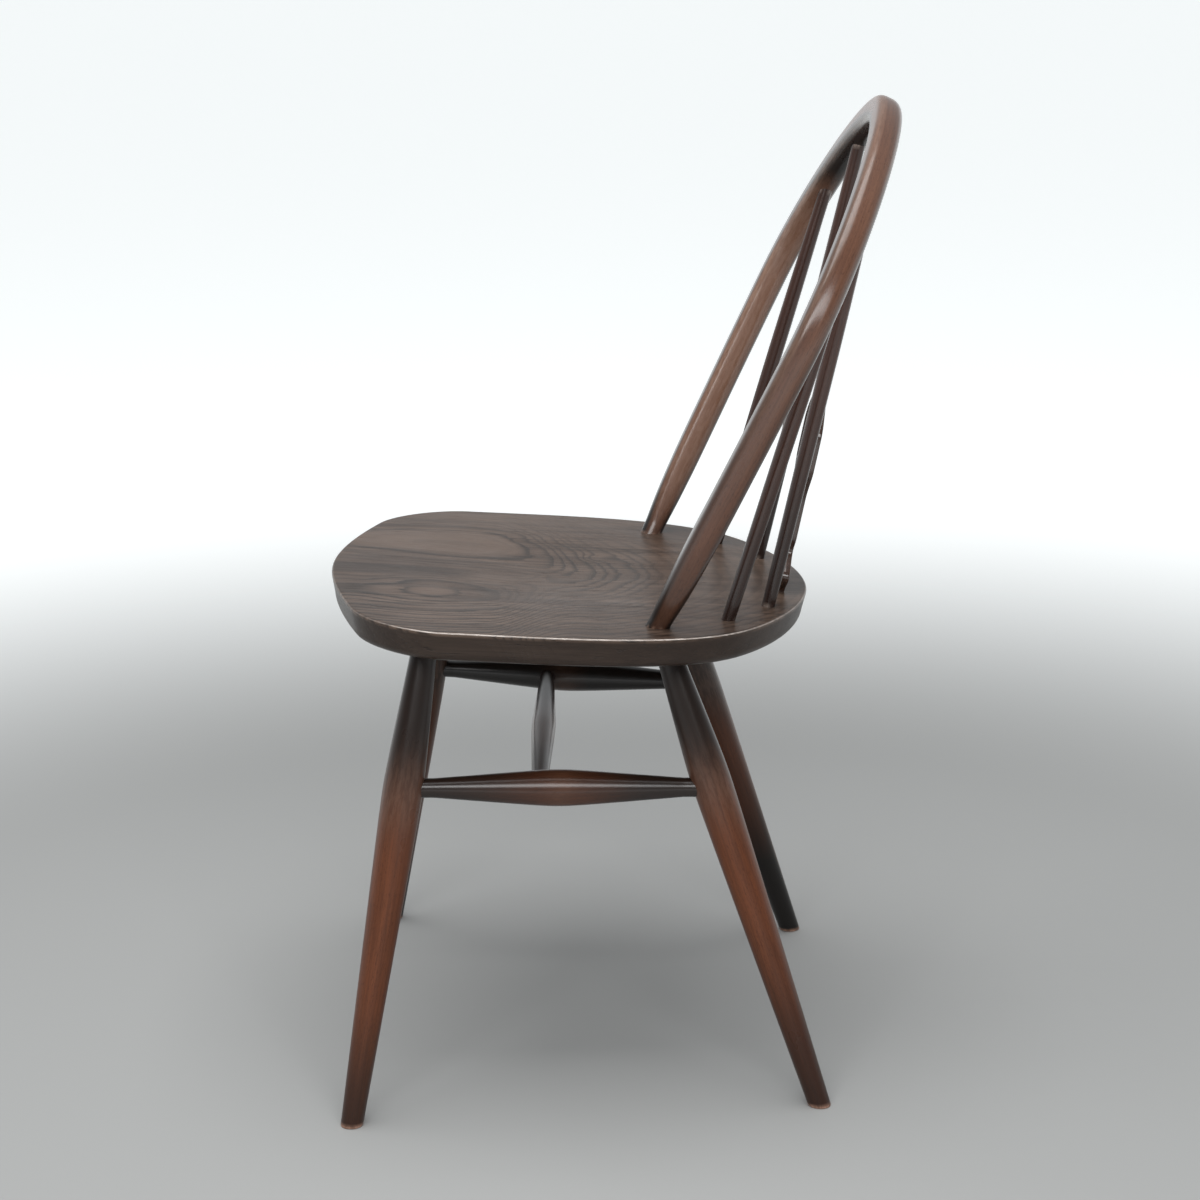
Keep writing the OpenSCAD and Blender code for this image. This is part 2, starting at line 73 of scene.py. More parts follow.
# Pulls of the two curves of the hoop's side, at their lower and upper ends
HOOP_LOW_PULLS = (0.26, 0.134)
HOOP_HIGH_PULLS = (0.48, 0.42)
HOOP_WOOD_W = 26
HOOP_WOOD_D = 24
HOOP_FOOT_D = 18.5
HOOP_GROW = 100
HOOP_GROW_POWER = 2.8
HOOP_TENON = 20
# Powers of the wood's outline, which is flat in front and round behind
FRONT_POWER = 3.8
BACK_POWER = 2.2
SOLID_WOOD_STEPS = 24

# Spindles: half width and distance back at the seat, and place along the crown's side
SPINDLES = {"outer": (131.5, SEAT_D - 73.5, 0.42), "inner": (82.5, SEAT_D - 38, 0.68)}
SPINDLE_D = (11.2, 13.4, 11.4)
SPINDLE_TENON = 16
SPINDLE_STOP = 1.6 * HOOP_WOOD_W
SPINDLE_FULL_AT = 0.55
SPINDLE_SOFT = 60

# Splat, whose stations give the distance up it and its full width
SPLAT_Y = SEAT_D - 25
SPLAT_T = 7
SPLAT_TENONS = (12, 10)
SPLAT_TOP_L = 34
SPLAT_STATIONS = ((0, 68), (16, 96), (37, 62), (48, 72), (83, 72), (112, 99),
                  (138, 99), (184, 26), (214, 68.4), (250, 76), (316, 42))
SPLAT_TOP_W = 58
PETAL_POWER = 1.2
# Each petal: half distance apart, distance up the splat, lean, length, width
PETALS = ((0, 328, 0, 42, 8.8), (0, 214, 0, 74, 11), (13, 214, 6, 58, 9.9),
          (11.5, 122, 0, 31, 11), (0, 97, 0, 31, 11), (23, 97, 0, 31, 11),
          (13, 44, 4, 42, 11))

# Legs: half width and distance back on the floor, then in the seat's top plane
LEGS = {"front": ((232.5, 24.5), (144, 92.5)),
        "rear": ((197.5, SEAT_D + 3), (127.5, SEAT_D - 133))}
LEG_D = (18.4, 33.2, 22)
LEG_FULL_H = 270
LEG_BLIND = 8
LEG_STRAIGHT = SEAT_T + LEG_D[2] / 3
LEG_SOFT = 18

# Stretchers
SIDE_H = {"front": 273, "rear": 265}
SIDE_D = (16, 30.5)
SIDE_PAST = 4
SIDE_STRAIGHT = 0.75 * LEG_D[1]
CROSS_Y = 180.5
CROSS_D = (13.6, 21)
CROSS_PAST = 3
CROSS_STRAIGHT = 0.64 * SIDE_D[1]
BAR_SOFT = 14


# Small functions
def unit(v):
    return v / np.linalg.norm(v)


def bezier(a, b, c, d, t):
    t = np.asarray(t, float)[..., None]
    return a * (1 - t) ** 3 + 3 * b * t * (1 - t) ** 2 + 3 * c * t ** 2 * (1 - t) + d * t ** 3


def ease(t):
    """0 up to 0, 1 from 1 on, and a soft step between."""
    return (1 - np.cos(np.pi * np.clip(t, 0, 1))) / 2


def ramp(x, start, over):
    """A soft step that starts at start and is full after over more."""
    return ease((x - start) / over)


def bell(x, middle, reach):
    """1 at the middle, and near 0 past twice the reach on both sides."""
    return np.exp(-((x - middle) / reach) ** 2)


def spot(x, y, middle, reach, power):
    """1 round a point, falling off past its reach across and back."""
    return np.exp(-((x - middle[0]) / reach[0]) ** power - ((y - middle[1]) / reach[1]) ** power)


def fall(u, reach, soft):
    """From 0 at 0 to 1 at reach, straight but for a rounded start of about soft."""
    return (np.hypot(u, soft) - soft) / (math.hypot(reach, soft) - soft)


# The whole chair's middle, front to back, is Y = 0. Its rearmost point is on the crown,
# found on the points of the solid's outline there.
crown_a = np.linspace(0, 2 * np.pi, SOLID_WOOD_STEPS, endpoint=False)
crown_c, crown_s = np.cos(crown_a), np.sin(crown_a)
crown_power = 2 / np.where(crown_s < 0, FRONT_POWER, BACK_POWER)
crown_y = (HOOP_WOOD_D / 2 * np.sign(crown_s) * np.abs(crown_s) ** crown_power * math.cos(HOOP_LEAN)
           + (HOOP_CROWN[1] + HOOP_WOOD_W / 2 * np.sign(crown_c) * np.abs(crown_c) ** crown_power)
           * math.sin(HOOP_LEAN))
MID_Y = (HOOP_Y + crown_y.max() - SOLID_TOP_R * math.sin(SEAT_SLOPE)) / 2


def on_seat(x, y):
    """Point of the seat's top plane, x across and y back from its front edge."""
    return np.array([x, y - MID_Y, SEAT_H - y * math.tan(SEAT_SLOPE)])


def on_floor(x, y):
    return np.array([x, y - MID_Y, 0.0])


def tilted(origin, x, y, z, angle):
    """Points from a frame at origin whose Y and Z are turned back by angle."""
    c, s = math.cos(angle), math.sin(angle)
    x, y, z = np.broadcast_arrays(x, y, z)
    return np.stack([x, y * c + z * s, z * c - y * s], -1) + origin


# Each piece is one mesh with marks on its points, which its material reads:
# grain, in metres across, through and along the wood, rings, the count of year rings,
# wear and painted light, from 0 to 1 where the lacquer is rubbed and where highlights and
# lit faces are painted pale, tone, the darkness of the stain and of painted shade, which
# lightens it below 0 as painted light, and figure, from 0 to 1 as the rings show. The seed
# moves the grain in metres, so that no two pieces show the same stretch of it. The two
# boards share a seed, because they lie side by side in one frame.
SEED_SHIFT = np.array([1.7, 2.3, 3.1])
SHARP_ANGLE = math.radians(50)


def make_piece(name, nodes, slot, points, faces, grain, rings, wear_and_painted_light, tone, seed, figure=1.0):
    mesh = bpy.data.meshes.new(name)
    mesh.from_pydata((points * MM).tolist(), [], faces)
    count = len(points)
    marks = {"rings": rings, "wear_and_painted_light": wear_and_painted_light, "tone": tone, "figure": figure}
    vector = mesh.attributes.new("grain", "FLOAT_VECTOR", "POINT")
    vector.data.foreach_set("vector", (grain * MM + SEED_SHIFT * seed).astype(np.float32).ravel())
    for key, values in marks.items():
        mark = mesh.attributes.new(key, "FLOAT", "POINT")
        full = np.broadcast_to(np.asarray(values, np.float32), (count,))
        mark.data.foreach_set("value", np.ascontiguousarray(full))
    skin = bmesh.new()
    skin.from_mesh(mesh)
    bmesh.ops.recalc_face_normals(skin, faces=skin.faces)
    skin.to_mesh(mesh)
    skin.free()
    mesh.shade_smooth()
    mesh.set_sharp_from_angle(angle=SHARP_ANGLE)
    obj = bpy.data.objects.new(name, mesh)
    bpy.context.scene.collection.objects.link(obj)
    mesh.materials.append(woods[slot])
    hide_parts(*nodes)
    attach(obj, "root")
    return obj


def tube_faces(rows, columns):
    """Quads round a tube of rows of points, with both ends closed."""
    faces = [list(range(columns)), list(range((rows - 1) * columns, rows * columns))]
    for j in range(rows - 1):
        for i in range(columns):
            k = (i + 1) % columns
            faces.append([j * columns + i, j * columns + k,
                          (j + 1) * columns + k, (j + 1) * columns + i])
    return faces


def ring_count(across, through, along, angle, distance=46.0, spacing=4.2, drift=0.03):
    """Year rings round a pith that runs beside the piece and drifts along it."""
    x = across + distance * math.cos(angle) + drift * along
    y = through + distance * math.sin(angle)
    return np.hypot(x, y) / spacing


# Turned pieces
ROUND_STEPS = 64
PITH_TURN = 2.4
# Rows of the foot's rounded end and of its blend into the leg, and the passes that find
# where each row of the rounded end meets its height
FOOT_END_ROWS = 6
FOOT_BLEND_ROWS = 8
FOOT_PASSES = 6
# Painted shade and painted highlight of the turned pieces: how quickly the side that faces
# inwards darkens as painted shade, and the pale line round a piece that stands in another,
# a painted highlight of the lacquer there, with its height
INNER_SHARP = 3
JOINT_HIGHLIGHT = 0.5
JOINT_HIGHLIGHT_LINE = 0.5


def turned_piece(name, slot, a, b, radius, stations, tone, wear_and_painted_light, seed, foot_round=0.0):
    """Skin of revolution from a towards b. With foot_round it is cut off at the floor."""
    axis = unit(b - a)
    side = unit(np.cross(axis, [0.0, 1.0, 0.0]))
    third = np.cross(axis, side)
    turn = np.linspace(0, 2 * np.pi, ROUND_STEPS, endpoint=False)
    outward = np.outer(np.cos(turn), side) + np.outer(np.sin(turn), third)
    along = np.tile(np.asarray(stations, float)[:, None], (1, ROUND_STEPS))
    inset = np.zeros(len(stations))
    if foot_round:
        steps = FOOT_END_ROWS
        bend = np.linspace(np.pi / 2, 0, steps)
        inset[:steps] = foot_round * (1 - np.cos(bend))
        heights = foot_round * (1 - np.sin(bend))
        for j in range(steps):
            z = np.zeros(ROUND_STEPS)
            for _ in range(FOOT_PASSES):
                r = radius(z) - inset[j]
                z = (heights[j] - a[2] - r * outward[:, 2]) / axis[2]
            along[j] = z
        for row in range(1, FOOT_BLEND_ROWS + 1):
            j = steps - 1 + row
            share = ease(row / FOOT_BLEND_ROWS)
            along[j] = along[steps - 1] * (1 - share) + along[j] * share + (1 - share) * row
    r = radius(along) - inset[:, None]
    points = a + along[..., None] * axis + r[..., None] * outward
    across = r * np.cos(turn)
    through = r * np.sin(turn)
    grain = np.stack([across, through, along], -1).reshape(-1, 3)
    rings = ring_count(grain[:, 0], grain[:, 1], grain[:, 2], seed * PITH_TURN)
    flat = points.reshape(-1, 3)
    return make_piece(name + "_turned", [name], slot, flat, tube_faces(len(stations), ROUND_STEPS),
                      grain, rings, wear_and_painted_light(flat, grain), tone(flat, grain), seed)


def swelling(z, low, full, high, d, soft_low, soft_high):
    """Radius at z: from d[0] at low over d[1] at full to d[2] at high, straight beyond."""
    up = d[1] - (d[1] - d[0]) * fall(full - np.minimum(z, full), full - low, soft_low)
    down = d[1] - (d[1] - d[2]) * fall(np.maximum(z, full) - full, high - full, soft_high)
    return np.where(z < full, up, np.where(z < high, down, d[2])) / 2


def facing_inwards(p, g, start, axis, side, d):
    """From 0 to 1 on the half of a turned piece that faces the chair's middle plane, where painted
    shade darkens it.
    """
    outward = p - start - g[:, 2:3] * axis
    return ease(-side * outward[:, 0] / d * INNER_SHARP)


# Legs' looks by height: where the dark over the stretchers starts and over how much it
# grows, how high the dark of each foot reaches, and where the bare rim starts to fade and
# over how much
LEG_DARK = (212, 100)
FOOT_DARK = {"front": 130, "rear": 200}
FOOT_RIM = (0.8, 3.2)
LEG_STAIN_AND_SHADE = {"over": 0.95, "foot": 0.75, "inner": 0.5}
LEG_WEAR, LEG_WEAR_REACH = 0.16, 30
# Rounding of a foot's end, and the rows of points on its lowest stretch and over it
FOOT_ROUND = 1.4
FOOT_STRETCH = 24
FOOT_ROWS, LEG_ROWS = 16, 90


def make_leg(end, side, seed):
    (foot_x, foot_y), (top_x, top_y) = LEGS[end]
    foot, top = on_floor(side * foot_x, foot_y), on_seat(side * top_x, top_y)
    axis = unit(top - foot)
    stop = np.linalg.norm(top - foot) - LEG_BLIND
    full = LEG_FULL_H / axis[2]
    below = LEG_D[0] * (1 - (LEG_D[1] - LEG_D[0]) / full)
    d = (below, LEG_D[1], LEG_D[2])

    def radius(z):
        return swelling(z, -LEG_D[0], full, stop - LEG_STRAIGHT, d, LEG_SOFT, LEG_SOFT)

    def tone(p, g):
        """Dark over the stretchers, partly staining and partly painted shade under the seat, darker
        towards the floor, and painted shade on the side that faces inwards.
        """
        h = p[:, 2]
        over = LEG_STAIN_AND_SHADE["over"] * ramp(h, *LEG_DARK)
        low = LEG_STAIN_AND_SHADE["foot"] * (1 - ramp(h, 0, FOOT_DARK[end]))
        inner = facing_inwards(p, g, foot, axis, side, LEG_D[0])
        return np.maximum(over, low) + LEG_STAIN_AND_SHADE["inner"] * inner

    def wear_and_painted_light(p, g):
        """Bare at the foot's rim, and a little worn where the leg is thickest."""
        rim = 1 - ramp(p[:, 2], *FOOT_RIM)
        return rim + LEG_WEAR * bell(p[:, 2], LEG_FULL_H, LEG_WEAR_REACH)

    stations = np.concatenate([np.linspace(0, FOOT_STRETCH, FOOT_ROWS)[:-2],
                               np.linspace(FOOT_STRETCH, stop, LEG_ROWS)])
    name = "leg_%s_%s" % (end, "left" if side > 0 else "right")
    return turned_piece(name, "leg_wood", foot, top, radius, stations, tone, wear_and_painted_light, seed, FOOT_ROUND)


def at_height(a, b, h):
    return a + (b - a) * (h - a[2]) / (b[2] - a[2])


def side_end(end, side):
    (foot_x, foot_y), (top_x, top_y) = LEGS[end]
    return at_height(on_floor(side * foot_x, foot_y), on_seat(side * top_x, top_y), SIDE_H[end])


def cross_end(side):
    a, b = side_end("front", side), side_end("rear", side)
    return a + (b - a) * (CROSS_Y - MID_Y - a[1]) / (b[1] - a[1])


# Stretchers' looks: dark from their ends inwards up to BAR_DARK_TO, then paling to the middle
BAR_ROWS = 110
BAR_DARK_TO = 50
BAR_STAIN_AND_SHADE = {"ends": 0.9, "paling": 0.65, "inner": 0.6}
BAR_WEAR, BAR_WEAR_REACH = 0.1, 12


def make_bar(name, a, b, past, straight, d, inner_side, seed):
    length = np.linalg.norm(b - a)

    def radius(z):
        half = np.abs(z - length / 2)
        share = np.minimum(fall(half, length / 2 - straight, BAR_SOFT), 1)
        return (d[1] - (d[1] - d[0]) * share) / 2

    # Dark at the ends and paling to the middle, with painted shade on the side that faces inwards.
    def tone(p, g):
        from_end = np.minimum(g[:, 2], length - g[:, 2])
        paling = ramp(from_end, BAR_DARK_TO, length / 2 - BAR_DARK_TO)
        inner = facing_inwards(p, g, a, unit(b - a), inner_side, d[0])
        return BAR_STAIN_AND_SHADE["ends"] - BAR_STAIN_AND_SHADE["paling"] * paling + BAR_STAIN_AND_SHADE["inner"] * inner

    def wear_and_painted_light(p, g):
        return BAR_WEAR * bell(g[:, 2], length / 2, BAR_WEAR_REACH)

    stations = np.linspace(-past, length + past, BAR_ROWS)
    return turned_piece(name, "stretcher_wood", a, b, radius, stations, tone, wear_and_painted_light, seed)


def hoop_start():
    return np.array([HOOP_FOOT_X, 0.0]) + HOOP_FOOT_D / 2 * hoop_rise()


def hoop_rise():
    return np.array([math.sin(HOOP_FLARE), math.cos(HOOP_FLARE)])


def hoop_low(t):
    start = hoop_start()
    rise, drop = (pull * HOOP_WIDE[1] for pull in HOOP_LOW_PULLS)
    return bezier(start, start + rise * hoop_rise(), HOOP_WIDE - [0, drop], HOOP_WIDE, t)


def hoop_high(t):
    shoulder = HOOP_HIGH_PULLS[0] * (HOOP_CROWN[1] - HOOP_WIDE[1])
    brow = HOOP_HIGH_PULLS[1] * HOOP_WIDE[0]
    return bezier(HOOP_WIDE, HOOP_WIDE + [0, shoulder], HOOP_CROWN + [brow, 0], HOOP_CROWN, t)


def from_hoop(x, y, s):
    """Points of the hoop's frame: x across, y through the wood to its back, s up the hoop."""
    return tilted(on_seat(0, HOOP_Y), x, y, s, HOOP_LEAN)


def over_seat_top(p):
    """Height of points over the seat's top plane."""
    return (p[:, 2] - SEAT_H + (p[:, 1] + MID_Y) * math.tan(SEAT_SLOPE)) * math.cos(SEAT_SLOPE)


def from_hoop_line(p):
    """Distance of points from the hoop's middle line, measured in the hoop's own plane."""
    x, y, z = (p - on_seat(0, HOOP_Y)).T
    s = y * math.sin(HOOP_LEAN) + z * math.cos(HOOP_LEAN)
    low_steps, high_steps = 40, 60
    line = np.concatenate([hoop_low(np.linspace(0, 1, low_steps)),
                           hoop_high(np.linspace(0, 1, high_steps))])
    gap = np.hypot(np.abs(x)[:, None] - line[:, 0], s[:, None] - line[:, 1])
    return gap.min(1)


# Spindles' looks: how far up the foot's dark stain fades, and the stretch under the hoop
# that darkens again
SPINDLE_ROWS = 100
SPINDLE_FADE = 190
SPINDLE_TOP_DARK = 60
SPINDLE_STAIN = {"foot": 0.75, "fading": 0.65, "top": 0.3}


def make_spindle(kind, side, seed):
    x, y, aim = SPINDLES[kind]
    foot = on_seat(side * x, y)
    end = hoop_high(aim)
    top = from_hoop(side * end[0], 0.0, end[1])
    length = np.linalg.norm(top - foot)

    def radius(z):
        return swelling(z, SPINDLE_D[0] / 2, SPINDLE_FULL_AT * length, length - SPINDLE_STOP,
                        SPINDLE_D, SPINDLE_SOFT, SPINDLE_SOFT)

    def tone(p, g):
        low = SPINDLE_STAIN["foot"] - SPINDLE_STAIN["fading"] * ramp(g[:, 2], 0, SPINDLE_FADE)
        near_top = ramp(g[:, 2], length - SPINDLE_TOP_DARK, SPINDLE_TOP_DARK)
        return low + SPINDLE_STAIN["top"] * near_top

    def wear_and_painted_light(p, g):
        """A thin pale line round each end, where it meets the seat and the hoop, as a painted
        highlight.
        """
        over_seat = over_seat_top(p)
        under_hoop = from_hoop_line(p) - HOOP_WOOD_W / 2
        return JOINT_HIGHLIGHT * (bell(over_seat, JOINT_HIGHLIGHT_LINE, JOINT_HIGHLIGHT_LINE)
                               + bell(under_hoop, JOINT_HIGHLIGHT_LINE, JOINT_HIGHLIGHT_LINE))

    stations = np.linspace(-SPINDLE_TENON, length, SPINDLE_ROWS)
    name = "spindle_%s_%s" % (kind, "left" if side > 0 else "right")
    return turned_piece(name, "spindle_wood", foot, top, radius, stations, tone, wear_and_painted_light, seed)


# Bent hoop: points round the wood, and rows along its tenon, its lower and its upper curve
WOOD_STEPS = 64
HOOP_TENON_ROWS, HOOP_LOW_ROWS, HOOP_HIGH_ROWS = 12, 70, 90
HOOP_RINGS = {"angle": 1.9, "distance": 60, "spacing": 3.6, "drift": 0.02}
# Hoop's looks, each with its start and with how much further it is full: in millimetres
# of wood from the nearer end, in shares of the whole length, and over the section from its
# middle, at 0, to its outside, at 1. CROWN_EDGE_LEFT is what the crown keeps of the edges.
# Of these, the dark at the feet and along the arms' front and back edges is painted shade, and the
# paler inner faces of the arms are painted light.
HOOP_FOOT_DARK = (0, 130)
HOOP_PAINTED_LIGHT = (0, 90)
HOOP_WORN = (120, 200)
ARM_END = (0.34, 0.1)
CROWN_START = (0.3, 0.08)
EDGE_FACE = (0.4, 0.45)
INNER_FACE = (0.0625, 0.625)
PAINTED_LIGHT_FACE = (0.5, 0.35)
WORN_CORNER = (0.42, 0.25)
HOOP_STAIN_SHADE_AND_LIGHT = {"all": 0.1, "foot": 0.5, "edge": 0.5, "crown": 0.95, "painted_light": -1.0}
HOOP_WEAR_AND_PAINTED_LIGHT = {"corner": 0.35, "painted_light": 0.45, "foot": 0.6}
CROWN_EDGE_LEFT = 0.1


def hoop_marks(points, across, through, low, length):
    """Tone and paleness of the hoop, where across and through go from -1 to 1 over the wood.

    The wood is darker at the feet and along the arms' front and back edges, both painted
    shade, and darker inside the crown. The arms' inner faces are made paler as painted light,
    the lacquer is worn along the corners, and a thin pale line round each foot is a painted
    highlight.
    """
    crown = ramp(low / length, *CROWN_START)
    on_arm = 1 - (1 - CROWN_EDGE_LEFT) * ramp(low / length, *ARM_END)
    edge = ramp(np.abs(through), *EDGE_FACE)
    inner = ramp(-across, *INNER_FACE)
    painted_light = ramp(-across, *PAINTED_LIGHT_FACE) * ramp(low, *HOOP_PAINTED_LIGHT) * (1 - crown)
    corner = ramp(np.abs(across * through), *WORN_CORNER) * ramp(low, *HOOP_WORN)
    # Painted shade at the feet and on the arms' front and back edges, darker inside the crown, and
    # painted light that makes the arms' inner faces paler.
    tone = HOOP_STAIN_SHADE_AND_LIGHT["all"] + HOOP_STAIN_SHADE_AND_LIGHT["foot"] * (1 - ramp(low, *HOOP_FOOT_DARK))
    tone = tone + HOOP_STAIN_SHADE_AND_LIGHT["edge"] * on_arm * edge + HOOP_STAIN_SHADE_AND_LIGHT["crown"] * inner * crown
    tone = tone + HOOP_STAIN_SHADE_AND_LIGHT["painted_light"] * painted_light
    wear_and_painted_light = HOOP_WEAR_AND_PAINTED_LIGHT["corner"] * corner + HOOP_WEAR_AND_PAINTED_LIGHT["painted_light"] * painted_light
    # A thin pale line round each foot, where it meets the seat, is a painted highlight.
    wear_and_painted_light = wear_and_painted_light + HOOP_WEAR_AND_PAINTED_LIGHT["foot"] * bell(over_seat_top(points), JOINT_HIGHLIGHT_LINE, JOINT_HIGHLIGHT_LINE)
    return tone, wear_and_painted_light


def hoop_line():
    """Middle line of the bent wood in the hoop's own plane, from tenon to tenon."""
    foot = np.array([HOOP_FOOT_X, 0.0])
    tenon = np.linspace(-HOOP_TENON, HOOP_FOOT_D / 2, HOOP_TENON_ROWS)[:-1, None]
    half = np.concatenate([tenon * hoop_rise() + foot,
                           hoop_low(np.linspace(0, 1, HOOP_LOW_ROWS))[:-1],
                           hoop_high(np.linspace(0, 1, HOOP_HIGH_ROWS))])
    return np.concatenate([half, (half * [-1, 1])[-2::-1]])


def make_hoop(seed):
    line = hoop_line()
    flow = np.gradient(line, axis=0)
    flow /= np.linalg.norm(flow, axis=1)[:, None]
    out = np.stack([flow[:, 1], -flow[:, 0]], 1)
    length = np.concatenate([[0], np.cumsum(np.linalg.norm(np.diff(line, axis=0), axis=1))])
    rise_s = line[:, 1] - hoop_start()[1]
    grown = 1 - (1 - np.clip(rise_s / HOOP_GROW, 0, 1)) ** HOOP_GROW_POWER
    w = (HOOP_FOOT_D + (HOOP_WOOD_W - HOOP_FOOT_D) * grown)[:, None]
    d = (HOOP_FOOT_D + (HOOP_WOOD_D - HOOP_FOOT_D) * grown)[:, None]
    angle = np.linspace(0, 2 * np.pi, WOOD_STEPS, endpoint=False)
    c, s = np.cos(angle), np.sin(angle)
    # The outline is round at the foot and grows flat in front, which is -Y
    power = 2 + grown[:, None] * np.where(s < 0, FRONT_POWER - 2, BACK_POWER - 2)
    reach = (np.abs(c / (w / 2)) ** power + np.abs(s / (d / 2)) ** power) ** (-1 / power)
    across, through = reach * c, reach * s
    x = line[:, 0][:, None] + out[:, 0][:, None] * across
    up = line[:, 1][:, None] + out[:, 1][:, None] * across
    points = from_hoop(x, through, up).reshape(-1, 3)
    along = np.tile(length[:, None], (1, WOOD_STEPS))
    grain = np.stack([across, through, along], -1).reshape(-1, 3)
    rings = ring_count(grain[:, 0], grain[:, 1], grain[:, 2] - length[-1] / 2, **HOOP_RINGS)
    low = np.minimum(along, length[-1] - along).ravel()
    tone, wear_and_painted_light = hoop_marks(points, (across / (w / 2)).ravel(), (through / (d / 2)).ravel(),
                            low, length[-1])
    return make_piece("hoop_bent", ["hoop"], "hoop_wood", points, tube_faces(len(line), WOOD_STEPS),
                      grain, rings, wear_and_painted_light, tone, seed)


# Splat, sawn from a thin board and pierced
SPLAT_ROUND = 0.9
SPLAT_BENDS = 5
# Grid of points on its faces: spacing, how far it keeps from edges, half width and start
SPLAT_GRID = 5.0
SPLAT_CLEAR = 2.5 * SPLAT_ROUND
GRID_HALF = 50
GRID_START = -10
SIDE_STEPS, PETAL_STEPS = 14, 19
MITRE_LIMIT = 0.55
# Points nearer than these are one: on the flat faces in millimetres, in the mesh in metres
FLAT_REACH = 1e-4
WELD_REACH = 2e-6
SPLAT_RINGS = {"angle": 0.5, "distance": 70, "spacing": 4.0, "drift": 0.06}
SPLAT_TONE = 0.55
SPLAT_ROUND_WEAR, SPLAT_WALL_WEAR = 0.4, 0.2


def splat_outline(end):
    stations = SPLAT_STATIONS + ((end - SPLAT_TENONS[1] - SPLAT_TOP_L, SPLAT_TOP_W),)
    side = [(SPLAT_STATIONS[0][1] / 2, -SPLAT_TENONS[0])]
    for (s0, w0), (s1, w1) in zip(stations, stations[1:]):
        for t in np.linspace(0, 1, SIDE_STEPS, endpoint=False):
            side.append(((w0 + (w1 - w0) * ease(t)) / 2, s0 + (s1 - s0) * t))
    side += [(SPLAT_TOP_W / 2, stations[-1][0]), (SPLAT_TOP_W / 2, end)]
    side = np.array(side)
    return np.concatenate([side, side[::-1] * [-1, 1]])


def petal_outlines():
    for x, s, lean, length, width in PETALS:
        t = np.linspace(0, 1, PETAL_STEPS)
        half = width / 2 * np.sin(np.pi * t) ** PETAL_POWER
        loop = np.concatenate([np.stack([half, length * t], 1),
                               np.stack([-half, length * t], 1)[-2:0:-1]])
        for side in ((1,) if x == 0 else (-1, 1)):
            c, n = math.cos(math.radians(side * lean)), math.sin(math.radians(side * lean))
            turned = np.stack([loop[:, 0] * c + loop[:, 1] * n, loop[:, 1] * c - loop[:, 0] * n], 1)
            yield turned[::-1] + [side * x, s]


def grown_inward(loop, distance):
    """The loop moved into the wood, which lies on its left."""
    before, after = np.roll(loop, 1, axis=0), np.roll(loop, -1, axis=0)
    a = loop - before
    b = after - loop
    a /= np.linalg.norm(a, axis=1)[:, None]
    b /= np.linalg.norm(b, axis=1)[:, None]
    middle = a + b
    middle /= np.linalg.norm(middle, axis=1)[:, None]
    stretch = 1 / np.clip((middle * a).sum(1), MITRE_LIMIT, 1)
    return loop + np.stack([-middle[:, 1], middle[:, 0]], 1) * (distance * stretch)[:, None]


def inside(points, loop):
    """Which points lie inside the loop, by counting the edges across to the right."""
    x, y = points[:, 0][:, None], points[:, 1][:, None]
    a, b = loop, np.roll(loop, -1, axis=0)
    crosses = (a[:, 1] > y) != (b[:, 1] > y)
    rise = np.where(a[:, 1] == b[:, 1], 1, b[:, 1] - a[:, 1])
    at = a[:, 0] + (y - a[:, 1]) * (b[:, 0] - a[:, 0]) / rise
    return (crosses & (x < at)).sum(1) % 2 == 1


def splat_faces(loops, end):
    """Points and triangles of the splat's flat face, between its outline and its petals."""
    inner = [grown_inward(loop, SPLAT_ROUND) for loop in loops]
    grid_x = np.arange(-GRID_HALF, GRID_HALF + SPLAT_GRID / 2, SPLAT_GRID)
    grid_s = np.arange(GRID_START, end, SPLAT_GRID)
    grid = np.stack(np.meshgrid(grid_x, grid_s), -1).reshape(-1, 2)
    keep = inside(grid, grown_inward(loops[0], SPLAT_CLEAR))
    for loop in loops[1:]:
        keep &= ~inside(grid, grown_inward(loop, SPLAT_CLEAR))
    plane = [Vector(p) for loop in inner for p in loop] + [Vector(p) for p in grid[keep]]
    edges, first = [], 0
    for loop in inner:
        edges += [(first + i, first + (i + 1) % len(loop)) for i in range(len(loop))]
        first += len(loop)
    flat, _, tris, _, _, _ = delaunay_2d_cdt(plane, edges, [], 0, FLAT_REACH)
    flat = np.array([list(p) for p in flat])
    centres = np.array([flat[list(t)].mean(0) for t in tris])
    solid = inside(centres, inner[0])
    for loop in inner[1:]:
        solid &= ~inside(centres, loop)
    return flat, [list(t) for t, s in zip(tris, solid) if s]


def weld_splat(mesh):
    """Joins the faces to the rounded edges and drops the points that no face uses."""
    weld = bmesh.new()
    weld.from_mesh(mesh)
    bmesh.ops.remove_doubles(weld, verts=weld.verts, dist=WELD_REACH)
    loose = [v for v in weld.verts if not v.link_faces]
    bmesh.ops.delete(weld, geom=loose, context="VERTS")
    bmesh.ops.recalc_face_normals(weld, faces=weld.faces)
    weld.to_mesh(mesh)
    weld.free()


